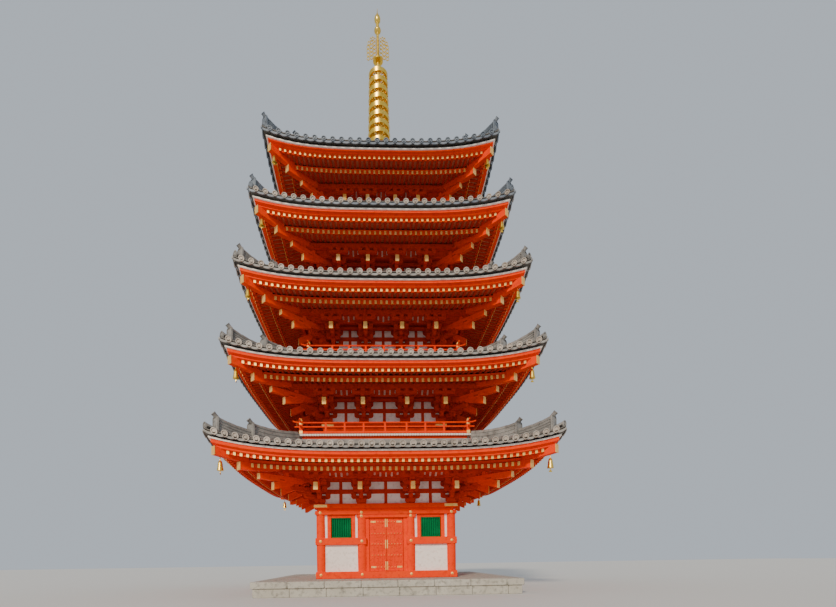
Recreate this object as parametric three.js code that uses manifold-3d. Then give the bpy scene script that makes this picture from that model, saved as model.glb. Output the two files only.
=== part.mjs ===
// Five-storey timber pagoda with tiled roofs, standing on a square stone platform.
// Millimetres, +Z up. The front doors face -Y and the origin is on the ground
// under the middle of the spire.
import * as THREE from 'three';
import { mergeGeometries, mergeVertices } from 'three/addons/utils/BufferGeometryUtils.js';
import Module from 'manifold-3d';

const wasm = await Module();
wasm.setup();

// Driving dimensions of the storeys. Every plan size is a whole number of rafter
// pitches, as in the real carpentry, and the pitch shrinks from storey to storey.
// span: outer column to outer column, in pitches. centreBay: the middle bay.
// capZ: middle of the tail rafter ends. baseZ and flyZ: middle of the lower and
// upper rafter ends at mid side. fasciaZ: middle of the white fascia at mid side.
// rise: how far the tile edge climbs at the corners. tileStep: one row of cover
// tiles to the next. slopeCuts: straight stretches that the curve of a row takes.
const STOREYS = [
  {
    pitch: 213.5, span: 24, centreBay: 9, capZ: 3970, baseZ: 4410, flyZ: 4575, fasciaZ: 4860, rise: 520,
    tileStep: 335, slopeCuts: 1,
  },
  {
    pitch: 204.8, span: 22, centreBay: 8, capZ: 7160, baseZ: 7610, flyZ: 7750, fasciaZ: 8010, rise: 485,
    tileStep: 333, slopeCuts: 1,
  },
  {
    pitch: 198.5, span: 20, centreBay: 7, capZ: 10110, baseZ: 10540, flyZ: 10680, fasciaZ: 10910, rise: 485,
    tileStep: 331, slopeCuts: 1,
  },
  {
    pitch: 189.0, span: 18, centreBay: 6, capZ: 12870, baseZ: 13310, flyZ: 13430, fasciaZ: 13640, rise: 440,
    tileStep: 325, slopeCuts: 1,
  },
  {
    pitch: 179.6, span: 16, centreBay: 6, capZ: 15440, baseZ: 15850, flyZ: 15980, fasciaZ: 16120, rise: 460,
    tileStep: 318, slopeCuts: 2,
  },
];

// Balconies of storeys two to five: the top of each floor. Then, in pitches: the
// line of the posts out from the wall columns, how far the floor stands out past
// the posts and its beams stay behind them, and the depths of the floor and of both.
const BALCONY_FLOORS = [6066, 9140, 11970, 14590];
const BALCONY = { reach: 4.55, floorPast: 0.5, beamBehind: 0.2, floorDepth: 0.6, depth: 1.25 };

// Railing, in pitches above the floor, but for the half thicknesses in mm.
const RAIL = { half: 35, low: [0.35, 0.6], top: [1.95, 2.25], runOn: 1.5 };
const CORNER_POST = { half: 0.3, top: 2.55 };
const MIDDLE_POST = { halfWidth: 40, halfDepth: 30, top: 2 };

// Reach of each eave member from the outer columns, in pitches.
const REACH = { purlin: 6, tail: 7.1, nose: 8.9, baseTip: 11, flyTip: 13.7, fascia: 14.9, tile: 15.6 };

// Walls of the upper storeys and the wall plate on top of any storey, in pitches.
const UPPER_WALL = { inside: 0.75, columnRadius: 0.7, columnSides: 6 };
const WALL_PLATE = { height: 0.8, reach: 1.1 };

// Bracket zone, in pitches: the wall plate below the middle of the tail rafter
// ends, half the height of such an end, the widths of a stack at a side and at a
// corner, and the purlin's bottom above the plate, with half its width.
const PLATE_BELOW_CAP = 2.35;
const STACK = { tailHalf: 0.68, width: 0.68, cornerWidth: 0.9 };
const PURLIN = { up: 4.5, half: 0.5 };

// Rafters: slopes, and half the heights of their ends in pitches.
const BASE_SLOPE = 0.3;
const FLY_SLOPE = 0.2;
const RAFTER_HALF = { base: 0.3, fly: 0.28 };

// Eave shell, in pitches: depth of the upper tier at its tip, depth over the
// rafters' undersides, and the fascia below and above its middle.
const EAVE = { tipDepth: 0.6, depth: 0.9, fasciaBelow: 0.35, fasciaAbove: 0.18 };

// Hip rafter, in pitches: where it starts, how far its lower and upper parts run
// past the rafter ends, how far it hangs below the rafters, and its width.
const HIP_RAFTER = { start: 6.6, pastBase: 0.8, pastFly: 0.9, drop: 0.75, width: 0.95 };

// Wind bell, in pitches: radius and height of its profile from the hanger down.
const BELL_PROFILE = [[0, 0.4], [0.09, 0.4], [0.09, -0.6], [0.3, -0.7], [0.42, -1.75], [0, -2.2]];
const BELL_SIDES = 5;

// How the eave curve climbs: steeply near the corners, and only toward the edge.
const CURVE_ALONG = 3.5;
const CURVE_OUT = 3;
const EAVE_CELLS = 6;
const CORNER_CROWDING = 1.6;

const WALL_HALF = 60;
const COLLAR_HALF = 100;
const TILE_BED = 140;
const EAVE_TILE_TOP = 200;

// Rows of cover tiles: how far their crests stand over the bed and the pans
// between them dip into it, and the width without a row at a hip's foot.
const TILE_ROW = { crest: 85, dip: 20, corner: 400 };
const CLEAR_OF_BEAM = 20;
const CLEAR_OF_FLOOR = 30;

// The bed where the tiles meet it: how far they lap, and the step in its underside.
const BED_LAP = 5;
const BED_STEP = 20;

// The highest roof ends around the spire: its rim and opening, where its ridges
// start, and how far the rib on the eave's collar reaches down.
const TOP_ROOF = { rim: 470, opening: 300, ridgeStart: 560, ribDepth: 80 };

// The two stages of a hip ridge, in pitches: where the outer one ends and how far
// in the high one starts, both from the tile edge, then their heights and widths,
// how deep they sit in the tiles, and the end tile with its horn.
const RIDGE = {
  end: 0.9, step: 6, foot: 0.3, low: { height: 1.3, width: 1.05 }, high: { height: 1.95, width: 1.35 },
};
const END_TILE = { half: 0.3, height: 0.4, hornOut: 0.5, hornUp: 1.1, face: 0.3 };
const EAVE_SLOPE = 0.18;
const TOP_EAVE_SLOPE = 0.3;

// Fit between pieces that touch, the play under the eave that a ring needs, how
// far joined blocks sink into each other, and the coarseness of the finished mesh.
const FIT = 0.3;
const RING_FIT = 3;
const LAP = 10;
const MERGE_TOLERANCE = 3;

// Stone platform and ground floor.
const PLATFORM_HALF = 4780;
const PLATFORM_COURSE_INSET = 60;
const COURSE_TOP = 310;
const PLATFORM_TOP = 550;
const FLOOR_TOP = 820;

// Ground storey walls, beams, windows and doors.
const COLUMN_RADIUS = 165;
const WAIST_BEAM = { bottom: 1870, top: 2140 };
const WINDOW = { width: 790, bottom: 2150, top: 2890, depth: 70, rim: 45, bars: 5, barWidth: 50 };
const HEAD_BEAM = { bottom: 2920, top: 3200 };
const BEAM_PROJECTION = 200;
const DOOR_HALF = 670;
const LEAF = { thickness: 60, clearance: 6, meeting: 4, pinRadius: 12 };

// Gilt spire, from the top of the highest roof to the tip.
const SPIRE = {
  seat: 18300, boxTop: 18780, bowlTop: 19170, lotusTop: 19450,
  ringFirst: 19800, ringPitch: 389, rings: 9, ringRadiusLow: 507, ringRadiusHigh: 430,
  shaftTop: 23560, flameTop: 24760, tip: 26000,
};

// Rings: half the height and the depth of a band, half a spoke's width and
// height, how far it stays inside the band, and the shaft's radius.
const RING = { half: 65, band: 60, spokeHalfWidth: 22, spokeHalfHeight: 35, spokeInside: 30, shaft: 75, sides: 8 };

// Flame blades: half width, how far they stand over the shaft's top and stay
// below the flame's, and thickness. Their half outline gives shares of the width
// and height. The jewels' profile gives radius and height above the flame.
const FLAME = { width: 1030, over: 120, below: 60, thickness: 30 };
const FLAME_OUTLINE = [
  [0, 0.02], [0.2, 0], [0.42, 0.08], [0.5, 0.28], [0.44, 0.45], [0.38, 0.62], [0.27, 0.8], [0.12, 0.93], [0, 1],
];
const JEWEL_PROFILE = [
  [45, 0], [45, 120], [110, 170], [150, 270], [110, 370], [45, 430],
  [40, 610], [95, 660], [135, 740], [110, 840], [45, 960], [18, 1040],
];

const PAINT = {
  vermilion: { color: 0xd8431a, roughness: 0.55, metalness: 0 },
  plaster: { color: 0xf0e8e0, roughness: 0.85, metalness: 0 },
  green: { color: 0x00733f, roughness: 0.5, metalness: 0 },
  door: { color: 0xc63a16, roughness: 0.5, metalness: 0 },
  tile: { color: 0x6e7378, roughness: 0.6, metalness: 0 },
  stone: { color: 0xb5ae9b, roughness: 0.8, metalness: 0 },
  gilt: { color: 0xe8c23c, roughness: 0.3, metalness: 1 },
};

const pagoda = new THREE.Group();

function addPiece(name, geometry, paint) {
  const mesh = new THREE.Mesh(geometry, new THREE.MeshStandardMaterial(paint));
  mesh.name = name;
  pagoda.add(mesh);
}

// Solids: joining and cutting

function signedVolume(points, corners) {
  let volume = 0;
  const vertex = (i) => new THREE.Vector3(points[3 * i], points[3 * i + 1], points[3 * i + 2]);
  for (let i = 0; i < corners.length; i += 3) {
    const [a, b, c] = [vertex(corners[i]), vertex(corners[i + 1]), vertex(corners[i + 2])];
    volume += a.dot(b.cross(c)) / 6;
  }
  return volume;
}

function toSolid(geometry) {
  const bare = geometry.clone();
  bare.deleteAttribute('normal');
  bare.deleteAttribute('uv');
  const merged = mergeVertices(bare, 0.01);
  const points = new Float32Array(merged.getAttribute('position').array);
  const corners = [];
  const index = merged.index.array;
  for (let i = 0; i < index.length; i += 3) {
    const [a, b, c] = [index[i], index[i + 1], index[i + 2]];
    if (a !== b && b !== c && c !== a) corners.push(a, b, c);
  }
  if (signedVolume(points, corners) < 0) corners.reverse();
  return new wasm.Manifold(
    new wasm.Mesh({ numProp: 3, vertProperties: points, triVerts: new Uint32Array(corners) }),
  );
}

function toGeometry(solid) {
  const mesh = solid.asOriginal().simplify(MERGE_TOLERANCE).getMesh();
  const geometry = new THREE.BufferGeometry();
  geometry.setAttribute('position', new THREE.BufferAttribute(new Float32Array(mesh.vertProperties), 3));
  geometry.setIndex(Array.from(mesh.triVerts));
  geometry.computeVertexNormals();
  return geometry;
}

function joined(geometries) {
  return toGeometry(geometries.map(toSolid).reduce((whole, piece) => whole.add(piece)));
}

function cut(geometry, cutters) {
  return toGeometry(cutters.map(toSolid).reduce((whole, cutter) => whole.subtract(cutter), toSolid(geometry)));
}

// Shapes

function block(x0, x1, y0, y1, z0, z1) {
  const box = new THREE.BoxGeometry(x1 - x0, y1 - y0, z1 - z0);
  return box.translate((x0 + x1) / 2, (y0 + y1) / 2, (z0 + z1) / 2);
}

function post(x, y, radius, z0, z1, sides = 10) {
  const cylinder = new THREE.CylinderGeometry(radius, radius, z1 - z0, sides);
  return cylinder.rotateX(Math.PI / 2).translate(x, y, (z0 + z1) / 2);
}

// The same geometry turned by some quarter turns about the middle of the pagoda.
function quarterTurned(geometry, turns) {
  const [c, s] = [[1, 0], [0, 1], [-1, 0], [0, -1]][turns];
  const turn = new THREE.Matrix4().set(c, -s, 0, 0, s, c, 0, 0, 0, 0, 1, 0, 0, 0, 0, 1);
  return geometry.clone().applyMatrix4(turn);
}

function onAllSides(geometry) {
  return [0, 1, 2, 3].map((turns) => quarterTurned(geometry, turns));
}

// A square ring with the given section. The section lists [half width, height]
// points, and the lift raises a point by its half width and how far it lies
// toward the corner, from 0 at mid side to 1 at the corner.
function squareRing(section, cells = 1, lift = () => 0) {
  const outline = section.map(([half, z]) => new THREE.Vector2(half, z));
  if (section[0][0] > 0) outline.push(outline[0].clone());
  const ring = new THREE.LatheGeometry(outline, 4 * cells, Math.PI / 4);
  ring.rotateX(Math.PI / 2);
  const place = ring.getAttribute('position');
  for (let i = 0; i < place.count; i += 1) {
    const half = Math.hypot(place.getX(i), place.getY(i));
    const angle = Math.atan2(place.getY(i), place.getX(i));
    const side = Math.round(angle / (Math.PI / 2));
    const share = (angle - side * (Math.PI / 2)) / (Math.PI / 4);
    const across = Math.sign(share) * (1 - (1 - Math.min(1, Math.abs(share))) ** CORNER_CROWDING);
    const [c, s] = [[1, 0], [0, 1], [-1, 0], [0, -1]][(side + 4) % 4];
    place.setXYZ(
      i,
      half * c - half * across * s,
      half * s + half * across * c,
      place.getZ(i) + lift(half, Math.abs(across)),
    );
  }
  return ring;
}

// A flat plate that stands upright, its outline in [distance from the axis,
// height], pointing along +X.
function uprightPlate(outline, thickness) {
  const shape = new THREE.Shape(outline.map(([x, z]) => new THREE.Vector2(x, z)));
  const plate = new THREE.ExtrudeGeometry(shape, { depth: thickness, bevelEnabled: false });
  return plate.translate(0, 0, -thickness / 2).rotateX(Math.PI / 2);
}

// The same on the diagonal, where the outline's first value is the distance
// along X and along Y.
function diagonalPlate(outline, thickness) {
  const stretched = outline.map(([x, z]) => [x * Math.SQRT2, z]);
  return uprightPlate(stretched, thickness).rotateZ(Math.PI / 4);
}

// Sizes of one storey, worked out from its pitch

function measure(storey) {
  const { pitch, span, centreBay, capZ, baseZ, flyZ, fasciaZ, rise, tileStep, slopeCuts } = storey;
  const half = (span * pitch) / 2;
  const at = (pitches) => half + pitches * pitch;
  const inner = (centreBay * pitch) / 2;
  const plateTop = capZ - PLATE_BELOW_CAP * pitch;
  const baseUnder = baseZ - RAFTER_HALF.base * pitch;
  const flyUnder = flyZ - RAFTER_HALF.fly * pitch;
  const collar = half + COLLAR_HALF;
  const wallTop = baseUnder + BASE_SLOPE * (at(REACH.baseTip) - collar);
  const lift = (distance, across) => {
    const out = Math.max(0, (distance - collar) / (at(REACH.tile) - collar));
    return rise * out ** CURVE_OUT * across ** CURVE_ALONG;
  };
  const baseUnderAt = (distance) => baseUnder + BASE_SLOPE * (at(REACH.baseTip) - distance);
  const flyUnderAt = (distance) => flyUnder + FLY_SLOPE * (at(REACH.flyTip) - distance);
  return {
    pitch, half, at, inner, columns: [-half, -inner, inner, half], plateTop, collar, wallTop,
    lift, baseUnderAt, flyUnderAt, fasciaZ, tileStep, slopeCuts,
  };
}

// Stone platform and ground floor

function columnPlaces(sizes) {
  const places = [];
  for (const x of sizes.columns) {
    for (const y of sizes.columns) {
      const onEdge = Math.abs(x) === sizes.half || Math.abs(y) === sizes.half;
      if (onEdge) places.push([x, y]);
    }
  }
  return places;
}

function buildPlatform(sizes) {
  const course = PLATFORM_HALF - PLATFORM_COURSE_INSET;
  addPiece('platform_base', block(-course, course, -course, course, 0, COURSE_TOP), PAINT.stone);
  const slab = block(-PLATFORM_HALF, PLATFORM_HALF, -PLATFORM_HALF, PLATFORM_HALF, COURSE_TOP, PLATFORM_TOP);
  addPiece('platform_slab', slab, PAINT.stone);

  const edge = sizes.half + BEAM_PROJECTION;
  addPiece('ground_floor', block(-edge, edge, -edge, edge, PLATFORM_TOP, FLOOR_TOP), PAINT.vermilion);
}

// Ground storey

// One corner of the ground storey: the corner column, the two columns that
// frame the doorways, and the walls, waist beams and door posts between them.
function cornerWall(sizes) {
  const { half, inner } = sizes;
  const line = -half;
  const middle = (-half - inner) / 2;
  const wall = cut(
    block(line, -inner, line - WALL_HALF, line + WALL_HALF, FLOOR_TOP, HEAD_BEAM.bottom),
    [block(
      middle - WINDOW.width / 2, middle + WINDOW.width / 2,
      line - 2 * WALL_HALF, line + 2 * WALL_HALF, WINDOW.bottom, WINDOW.top,
    )],
  );
  const beam = block(
    line - BEAM_PROJECTION, -inner + COLUMN_RADIUS,
    line - BEAM_PROJECTION, line, WAIST_BEAM.bottom, WAIST_BEAM.top,
  );
  const doorPost = block(
    -inner, -DOOR_HALF, line - WALL_HALF, line + WALL_HALF, FLOOR_TOP, HEAD_BEAM.bottom,
  );
  const face = joined([wall, beam, doorPost]);
  const mirrored = face.clone().applyMatrix4(
    new THREE.Matrix4().set(0, 1, 0, 0, 1, 0, 0, 0, 0, 0, 1, 0, 0, 0, 0, 1),
  );
  const columns = [[line, line], [-inner, line], [line, -inner]].map(([x, y]) =>
    post(x, y, COLUMN_RADIUS, FLOOR_TOP, HEAD_BEAM.bottom));
  return joined([face, mirrored, ...columns]);
}

// A window of upright bars in a thin frame, for the front wall.
function barredWindow(sizes, side) {
  const middle = side * ((sizes.half + sizes.inner) / 2);
  const reach = WINDOW.width / 2 - FIT;
  const [bottom, top] = [WINDOW.bottom + FIT, WINDOW.top - FIT];
  const [front, back] = [-sizes.half - WINDOW.depth / 2, -sizes.half + WINDOW.depth / 2];
  const frame = block(middle - reach, middle + reach, front, back, bottom, top);
  const clear = 2 * (reach - WINDOW.rim);
  const gap = (clear - WINDOW.bars * WINDOW.barWidth) / (WINDOW.bars + 1);
  const gaps = [];
  for (let i = 0; i <= WINDOW.bars; i += 1) {
    const left = middle - clear / 2 + i * (gap + WINDOW.barWidth);
    gaps.push(block(left, left + gap, front - LAP, back + LAP, bottom + WINDOW.rim, top - WINDOW.rim));
  }
  return cut(frame, gaps);
}

function buildGroundWalls(sizes) {
  const corners = ['front_left', 'front_right', 'back_right', 'back_left'];
  const sides = ['front', 'right', 'back', 'left'];
  const wall = cornerWall(sizes);
  corners.forEach((corner, turns) => {
    addPiece(`corner_wall_${corner}`, quarterTurned(wall, turns), PAINT.plaster);
  });
  sides.forEach((side, turns) => {
    addPiece(`window_${side}_1`, quarterTurned(barredWindow(sizes, -1), turns), PAINT.green);
    addPiece(`window_${side}_2`, quarterTurned(barredWindow(sizes, 1), turns), PAINT.green);
  });
}

// The beam and wall plate that run round the top of the ground storey.
function buildHeadFrame(sizes) {
  const inside = sizes.half - 2 * WALL_HALF;
  const plateReach = sizes.half + WALL_PLATE.reach * sizes.pitch;
  const plateBottom = sizes.plateTop - WALL_PLATE.height * sizes.pitch;
  const frame = squareRing([
    [inside, HEAD_BEAM.bottom], [sizes.half + BEAM_PROJECTION, HEAD_BEAM.bottom],
    [sizes.half + BEAM_PROJECTION, HEAD_BEAM.top], [sizes.half + COLLAR_HALF, HEAD_BEAM.top],
    [sizes.half + COLLAR_HALF, plateBottom],
    [plateReach, plateBottom], [plateReach, sizes.plateTop], [inside, sizes.plateTop],
  ]);
  addPiece('ground_head_frame', joined([frame]), PAINT.vermilion);
}

// One leaf of the front door. Its rounded heel turns on a pin at the top and
// the bottom, behind the door post.
function doorLeaf(sizes, side) {
  const axis = side * (DOOR_HALF - LEAF.clearance - LEAF.thickness / 2);
  const meeting = side * LEAF.meeting;
  const [bottom, top] = [FLOOR_TOP + LEAF.clearance, HEAD_BEAM.bottom - LEAF.clearance];
  const line = -sizes.half;
  const panel = block(
    Math.min(axis, meeting), Math.max(axis, meeting),
    line - LEAF.thickness / 2, line + LEAF.thickness / 2, bottom, top,
  );
  const heel = post(axis, line, LEAF.thickness / 2, bottom, top);
  const pin = post(axis, line, LEAF.pinRadius, FLOOR_TOP + FIT, HEAD_BEAM.bottom - FIT);
  return joined([panel, heel, pin]);
}

// The closed pair of leaves of another side, with the groove where they meet.
function closedDoors(sizes) {
  const line = -sizes.half;
  const depth = LEAF.thickness / 2;
  const pair = block(
    -DOOR_HALF + FIT, DOOR_HALF - FIT, line - depth, line + depth, FLOOR_TOP + FIT, HEAD_BEAM.bottom - FIT,
  );
  const groove = block(
    -LEAF.meeting, LEAF.meeting, line - 2 * depth, line - depth / 2, FLOOR_TOP, HEAD_BEAM.bottom,
  );
  return cut(pair, [groove]);
}

function buildDoors(sizes) {
  addPiece('front_door_left', doorLeaf(sizes, -1), PAINT.door);
  addPiece('front_door_right', doorLeaf(sizes, 1), PAINT.door);
  ['right', 'back', 'left'].forEach((side, i) => {
    addPiece(`closed_doors_${side}`, quarterTurned(closedDoors(sizes), i + 1), PAINT.door);
  });
}

// Brackets, eaves and roofs

// One bracket stack seen from the side: the stepped arms, the sloping tail
// rafter and the block that carries the eave purlin.
function bracketOutline(sizes, noseReach = 0) {
  const { half, pitch, plateTop } = sizes;
  const point = (out, up) => [half + out * pitch, plateTop + up * pitch];
  const outline = [
    point(0, 0.3), point(4.6, 2.2),
    point(REACH.tail, PLATE_BELOW_CAP - STACK.tailHalf), point(REACH.tail, PLATE_BELOW_CAP + STACK.tailHalf),
  ];
  if (noseReach) outline.push(point(6.5, 3.3), point(noseReach, 3.2), point(noseReach, 4.2), point(6.5, 4.4));
  outline.push(point(6.4, 4.6), point(0, 6.1));
  return outline;
}

function buildBrackets(name, sizes) {
  const { half, pitch, plateTop, wallTop } = sizes;
  const wall = squareRing([
    [half - WALL_HALF, plateTop], [half + WALL_HALF, plateTop],
    [half + WALL_HALF, wallTop], [half - WALL_HALF, wallTop],
  ]);
  const [purlinIn, purlinOut] = [-PURLIN.half, PURLIN.half].map((out) => sizes.at(REACH.purlin + out));
  const purlinBottom = plateTop + PURLIN.up * pitch;
  const purlinTop = sizes.baseUnderAt(purlinOut) - RING_FIT;
  const purlin = squareRing([
    [purlinIn, purlinBottom], [purlinOut, purlinBottom], [purlinOut, purlinTop], [purlinIn, purlinTop],
  ]);
  const stack = uprightPlate(bracketOutline(sizes), STACK.width * pitch);
  const stacks = sizes.columns.map((y) => stack.clone().translate(0, y, 0));
  const corner = diagonalPlate(bracketOutline(sizes, REACH.nose), STACK.cornerWidth * pitch);
  const pieces = [...stacks.flatMap(onAllSides), ...onAllSides(corner)];
  addPiece(name, joined([wall, purlin, ...pieces]), PAINT.vermilion);
}

// Wind bell under the end of a hip rafter, with its hanger and the clapper below it.
function windBell(sizes) {
  const { pitch } = sizes;
  const reach = sizes.at(REACH.flyTip);
  const top = sizes.flyUnderAt(reach) + sizes.lift(reach, 1) - 0.7 * pitch;
  const outline = BELL_PROFILE.map(([r, z]) => new THREE.Vector2(r * pitch, z * pitch));
  const bell = new THREE.LatheGeometry(outline, BELL_SIDES);
  return bell.rotateX(Math.PI / 2).translate(reach, reach, top);
}

// The hip rafter of one corner: the lower one, and the upper one that runs on
// past it to the corner of the fascia.
function hipRafter(sizes) {
  const { pitch } = sizes;
  const drop = HIP_RAFTER.drop * pitch;
  const [start, step, end] = [
    HIP_RAFTER.start, REACH.baseTip + HIP_RAFTER.pastBase, REACH.flyTip + HIP_RAFTER.pastFly,
  ].map(sizes.at);
  const lower = (distance, up) => [distance, sizes.baseUnderAt(distance) + sizes.lift(distance, 1) + up];
  const upper = (distance, up) => [distance, sizes.flyUnderAt(distance) + sizes.lift(distance, 1) + up];
  return diagonalPlate([
    lower(start, -drop), lower(step, -drop), upper(step, -drop), upper(end, -drop),
    upper(end, 0.7 * drop), upper(step, 0.5 * drop), lower(start, 0.5 * drop),
  ], HIP_RAFTER.width * pitch);
}

// The eave: two tiers of rafters and their boards as one curved shell, the
// fascia, the hip rafters and the wind bells.
function buildEave(name, sizes, collarTop) {
  const { pitch, half, collar, wallTop, fasciaZ } = sizes;
  const [base, fly, fascia] = [sizes.at(REACH.baseTip), sizes.at(REACH.flyTip), sizes.at(REACH.fascia)];
  const flyTop = sizes.flyUnderAt(fly) + EAVE.tipDepth * pitch;
  const section = [
    [half - COLLAR_HALF, wallTop], [collar, wallTop], [base, sizes.baseUnderAt(base)],
    [base, sizes.flyUnderAt(base)], [fly, sizes.flyUnderAt(fly)],
    [fly, flyTop], [fascia, fasciaZ - EAVE.fasciaBelow * pitch], [fascia, fasciaZ + EAVE.fasciaAbove * pitch],
    [base, sizes.flyUnderAt(base) + EAVE.depth * pitch], [collar, wallTop + EAVE.depth * pitch],
    [collar, collarTop], [half - COLLAR_HALF, collarTop],
  ];
  const shell = squareRing(section, EAVE_CELLS, sizes.lift);
  const corner = [hipRafter(sizes), windBell(sizes)];
  addPiece(name, joined([shell, ...corner.flatMap(onAllSides)]), PAINT.vermilion);
}

// Height of the tile surface above a point this far from the axis at mid side.
function roofSurface(sizes, rim, rimZ, eaveSlope) {
  const edge = sizes.at(REACH.tile);
  const edgeZ = sizes.fasciaZ + EAVE_TILE_TOP;
  const run = edge - rim;
  const bend = (rimZ - edgeZ - eaveSlope * run) / run ** 2;
  return (distance) => edgeZ + eaveSlope * (edge - distance) + bend * (edge - distance) ** 2;
}

// One stage of a hip ridge, from its inner end out to its end tile and horn.
function ridgeStage(hip, pitch, inner, outer, height, width) {
  const middle = (inner + outer) / 2;
  const at = (distance, up) => [distance, hip(distance) + up * pitch];
  const tip = outer + END_TILE.half * pitch;
  const back = outer - END_TILE.half * pitch;
  return diagonalPlate([
    at(inner, -RIDGE.foot), at(middle, -RIDGE.foot), at(tip, -RIDGE.foot), at(tip, height + END_TILE.face),
    at(tip + END_TILE.hornOut * pitch, height + END_TILE.hornUp), at(back, height + END_TILE.height),
    at(back, height), at(middle, height), at(inner, height),
  ], width * pitch);
}

// The ridge along one hip, in two stages: the outer one low, the inner one high.
function hipRidge(sizes, surface, innerEnd) {
  const { pitch } = sizes;
  const hip = (distance) => surface(distance) + sizes.lift(distance, 1);
  const [outer, step] = [RIDGE.end, RIDGE.step].map((back) => sizes.at(REACH.tile - back));
  return [
    ridgeStage(hip, pitch, step, outer, RIDGE.low.height, RIDGE.low.width),
    ridgeStage(hip, pitch, innerEnd, step, RIDGE.high.height, RIDGE.high.width),
  ];
}

// Crests, dips and ends of the front slope's surface, from hip to hip.
function slopeLines(sizes, inner) {
  const edge = sizes.at(REACH.tile);
  const rows = Math.floor((edge - TILE_ROW.corner) / sizes.tileStep);
  const ribs = Array.from({ length: 4 * rows + 1 }, (_, i) => ((i - 2 * rows) * sizes.tileStep) / 2);
  return [...ribs, -edge, -inner, inner, edge].sort((a, b) => a - b);
}

function nearest(values, x) {
  return values.reduce((best, value) => (Math.abs(value - x) < Math.abs(best - x) ? value : best));
}

// The tiles of the four slopes, outside a line this far from the axis. The rows
// run straight up each slope and end at the hips, and the pans lie between them.
// The underside has only the few lines that its curve needs.
function tileSlopes(sizes, surface, inner) {
  const edge = sizes.at(REACH.tile);
  const crowded = edge * (1 - (1 / 3) ** CORNER_CROWDING);
  const underLines = [-edge, -crowded, -inner, 0, inner, crowded, edge];
  const lines = slopeLines(sizes, inner);
  const slope = new THREE.BoxGeometry(1, 1, 1, lines.length - 1, sizes.slopeCuts, 1);
  const place = slope.getAttribute('position');
  for (let i = 0; i < place.count; i += 1) {
    const onTop = place.getZ(i) > 0;
    const line = lines[Math.round((place.getX(i) + 0.5) * (lines.length - 1))];
    const x = onTop ? line : nearest(underLines, line);
    const distance = Math.max(edge + (inner - edge) * (place.getY(i) + 0.5), Math.abs(x));
    const bed = surface(distance) + sizes.lift(distance, Math.abs(x) / distance);
    const row = Math.abs(x) / sizes.tileStep;
    const crestShare = Math.abs(x) === edge ? 0 : 1 - 2 * Math.abs(row - Math.floor(row) - 0.5);
    const relief = (TILE_ROW.crest + TILE_ROW.dip) * crestShare - TILE_ROW.dip;
    place.setXYZ(i, x, -distance, bed + (onTop ? relief : -TILE_BED));
  }
  const onHip = (i) => Math.abs(place.getX(i)) === Math.abs(place.getY(i));
  const faces = Array.from({ length: slope.index.count / 3 }, (_, i) => slope.index.array.slice(3 * i, 3 * i + 3));
  slope.setIndex(faces.filter((face) => !face.every(onHip)).flatMap((face) => [...face]));
  return mergeGeometries(onAllSides(slope));
}

// The bed inside that line, level with the beam or the spire that stands on it.
function tileBed(sizes, surface, opening, rim, rimZ, inner) {
  const outer = inner + BED_LAP;
  return squareRing([
    [opening, rimZ - TILE_BED], [rim, rimZ - TILE_BED], [outer, surface(outer) - TILE_BED + BED_STEP],
    [outer, surface(outer) - TILE_ROW.dip - BED_LAP], [rim, rimZ], [opening, rimZ],
  ]);
}

// The rib that carries the highest roof on the collar of its eave.
function roofRib(sizes, surface, bottom) {
  const [inside, top] = [sizes.half - COLLAR_HALF, surface(sizes.collar) - TILE_BED / 2];
  return squareRing([[inside, bottom], [sizes.collar, bottom], [sizes.collar, top], [inside, top]]);
}

// Upper storeys

function balconySizes(sizes, floorTop) {
  const { pitch } = sizes;
  const line = sizes.half + BALCONY.reach * pitch;
  return {
    line, floorEdge: line + BALCONY.floorPast * pitch, beamEdge: line - BALCONY.beamBehind * pitch,
    floorTop, floorBottom: floorTop - BALCONY.floorDepth * pitch, beamBottom: floorTop - BALCONY.depth * pitch,
  };
}

function railRing(line, bottom, top) {
  const [inside, outside] = [line - RAIL.half, line + RAIL.half];
  return squareRing([[inside, bottom], [outside, bottom], [outside, top], [inside, top]]);
}

// Balcony: floor boards on a beam frame, with a three-rail railing. The top
// rails cross at the corners and run on past the posts.
function buildBalcony(name, sizes, balcony) {
  const { pitch } = sizes;
  const { line, floorEdge, beamEdge, floorTop, floorBottom, beamBottom } = balcony;
  const floor = block(-floorEdge, floorEdge, -floorEdge, floorEdge, floorBottom, floorTop);
  const beams = block(-beamEdge, beamEdge, -beamEdge, beamEdge, beamBottom, floorBottom + LAP);
  const up = (pitches) => floorTop + pitches * pitch;
  const lowRail = railRing(line, ...RAIL.low.map(up));
  const railEnd = line + RAIL.runOn * pitch;
  const topRail = block(-railEnd, railEnd, -line - RAIL.half, -line + RAIL.half, ...RAIL.top.map(up));
  const [outside, inside] = [-line - CORNER_POST.half * pitch, -line + CORNER_POST.half * pitch];
  const cornerPost = block(outside, inside, outside, inside, floorTop - LAP, up(CORNER_POST.top));
  const { halfWidth, halfDepth, top } = MIDDLE_POST;
  const middlePost = block(-halfWidth, halfWidth, -line - halfDepth, -line + halfDepth, floorTop - LAP, up(top));
  const side = [topRail, cornerPost, middlePost];
  addPiece(name, joined([floor, beams, lowRail, ...side.flatMap(onAllSides)]), PAINT.vermilion);
}

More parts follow.
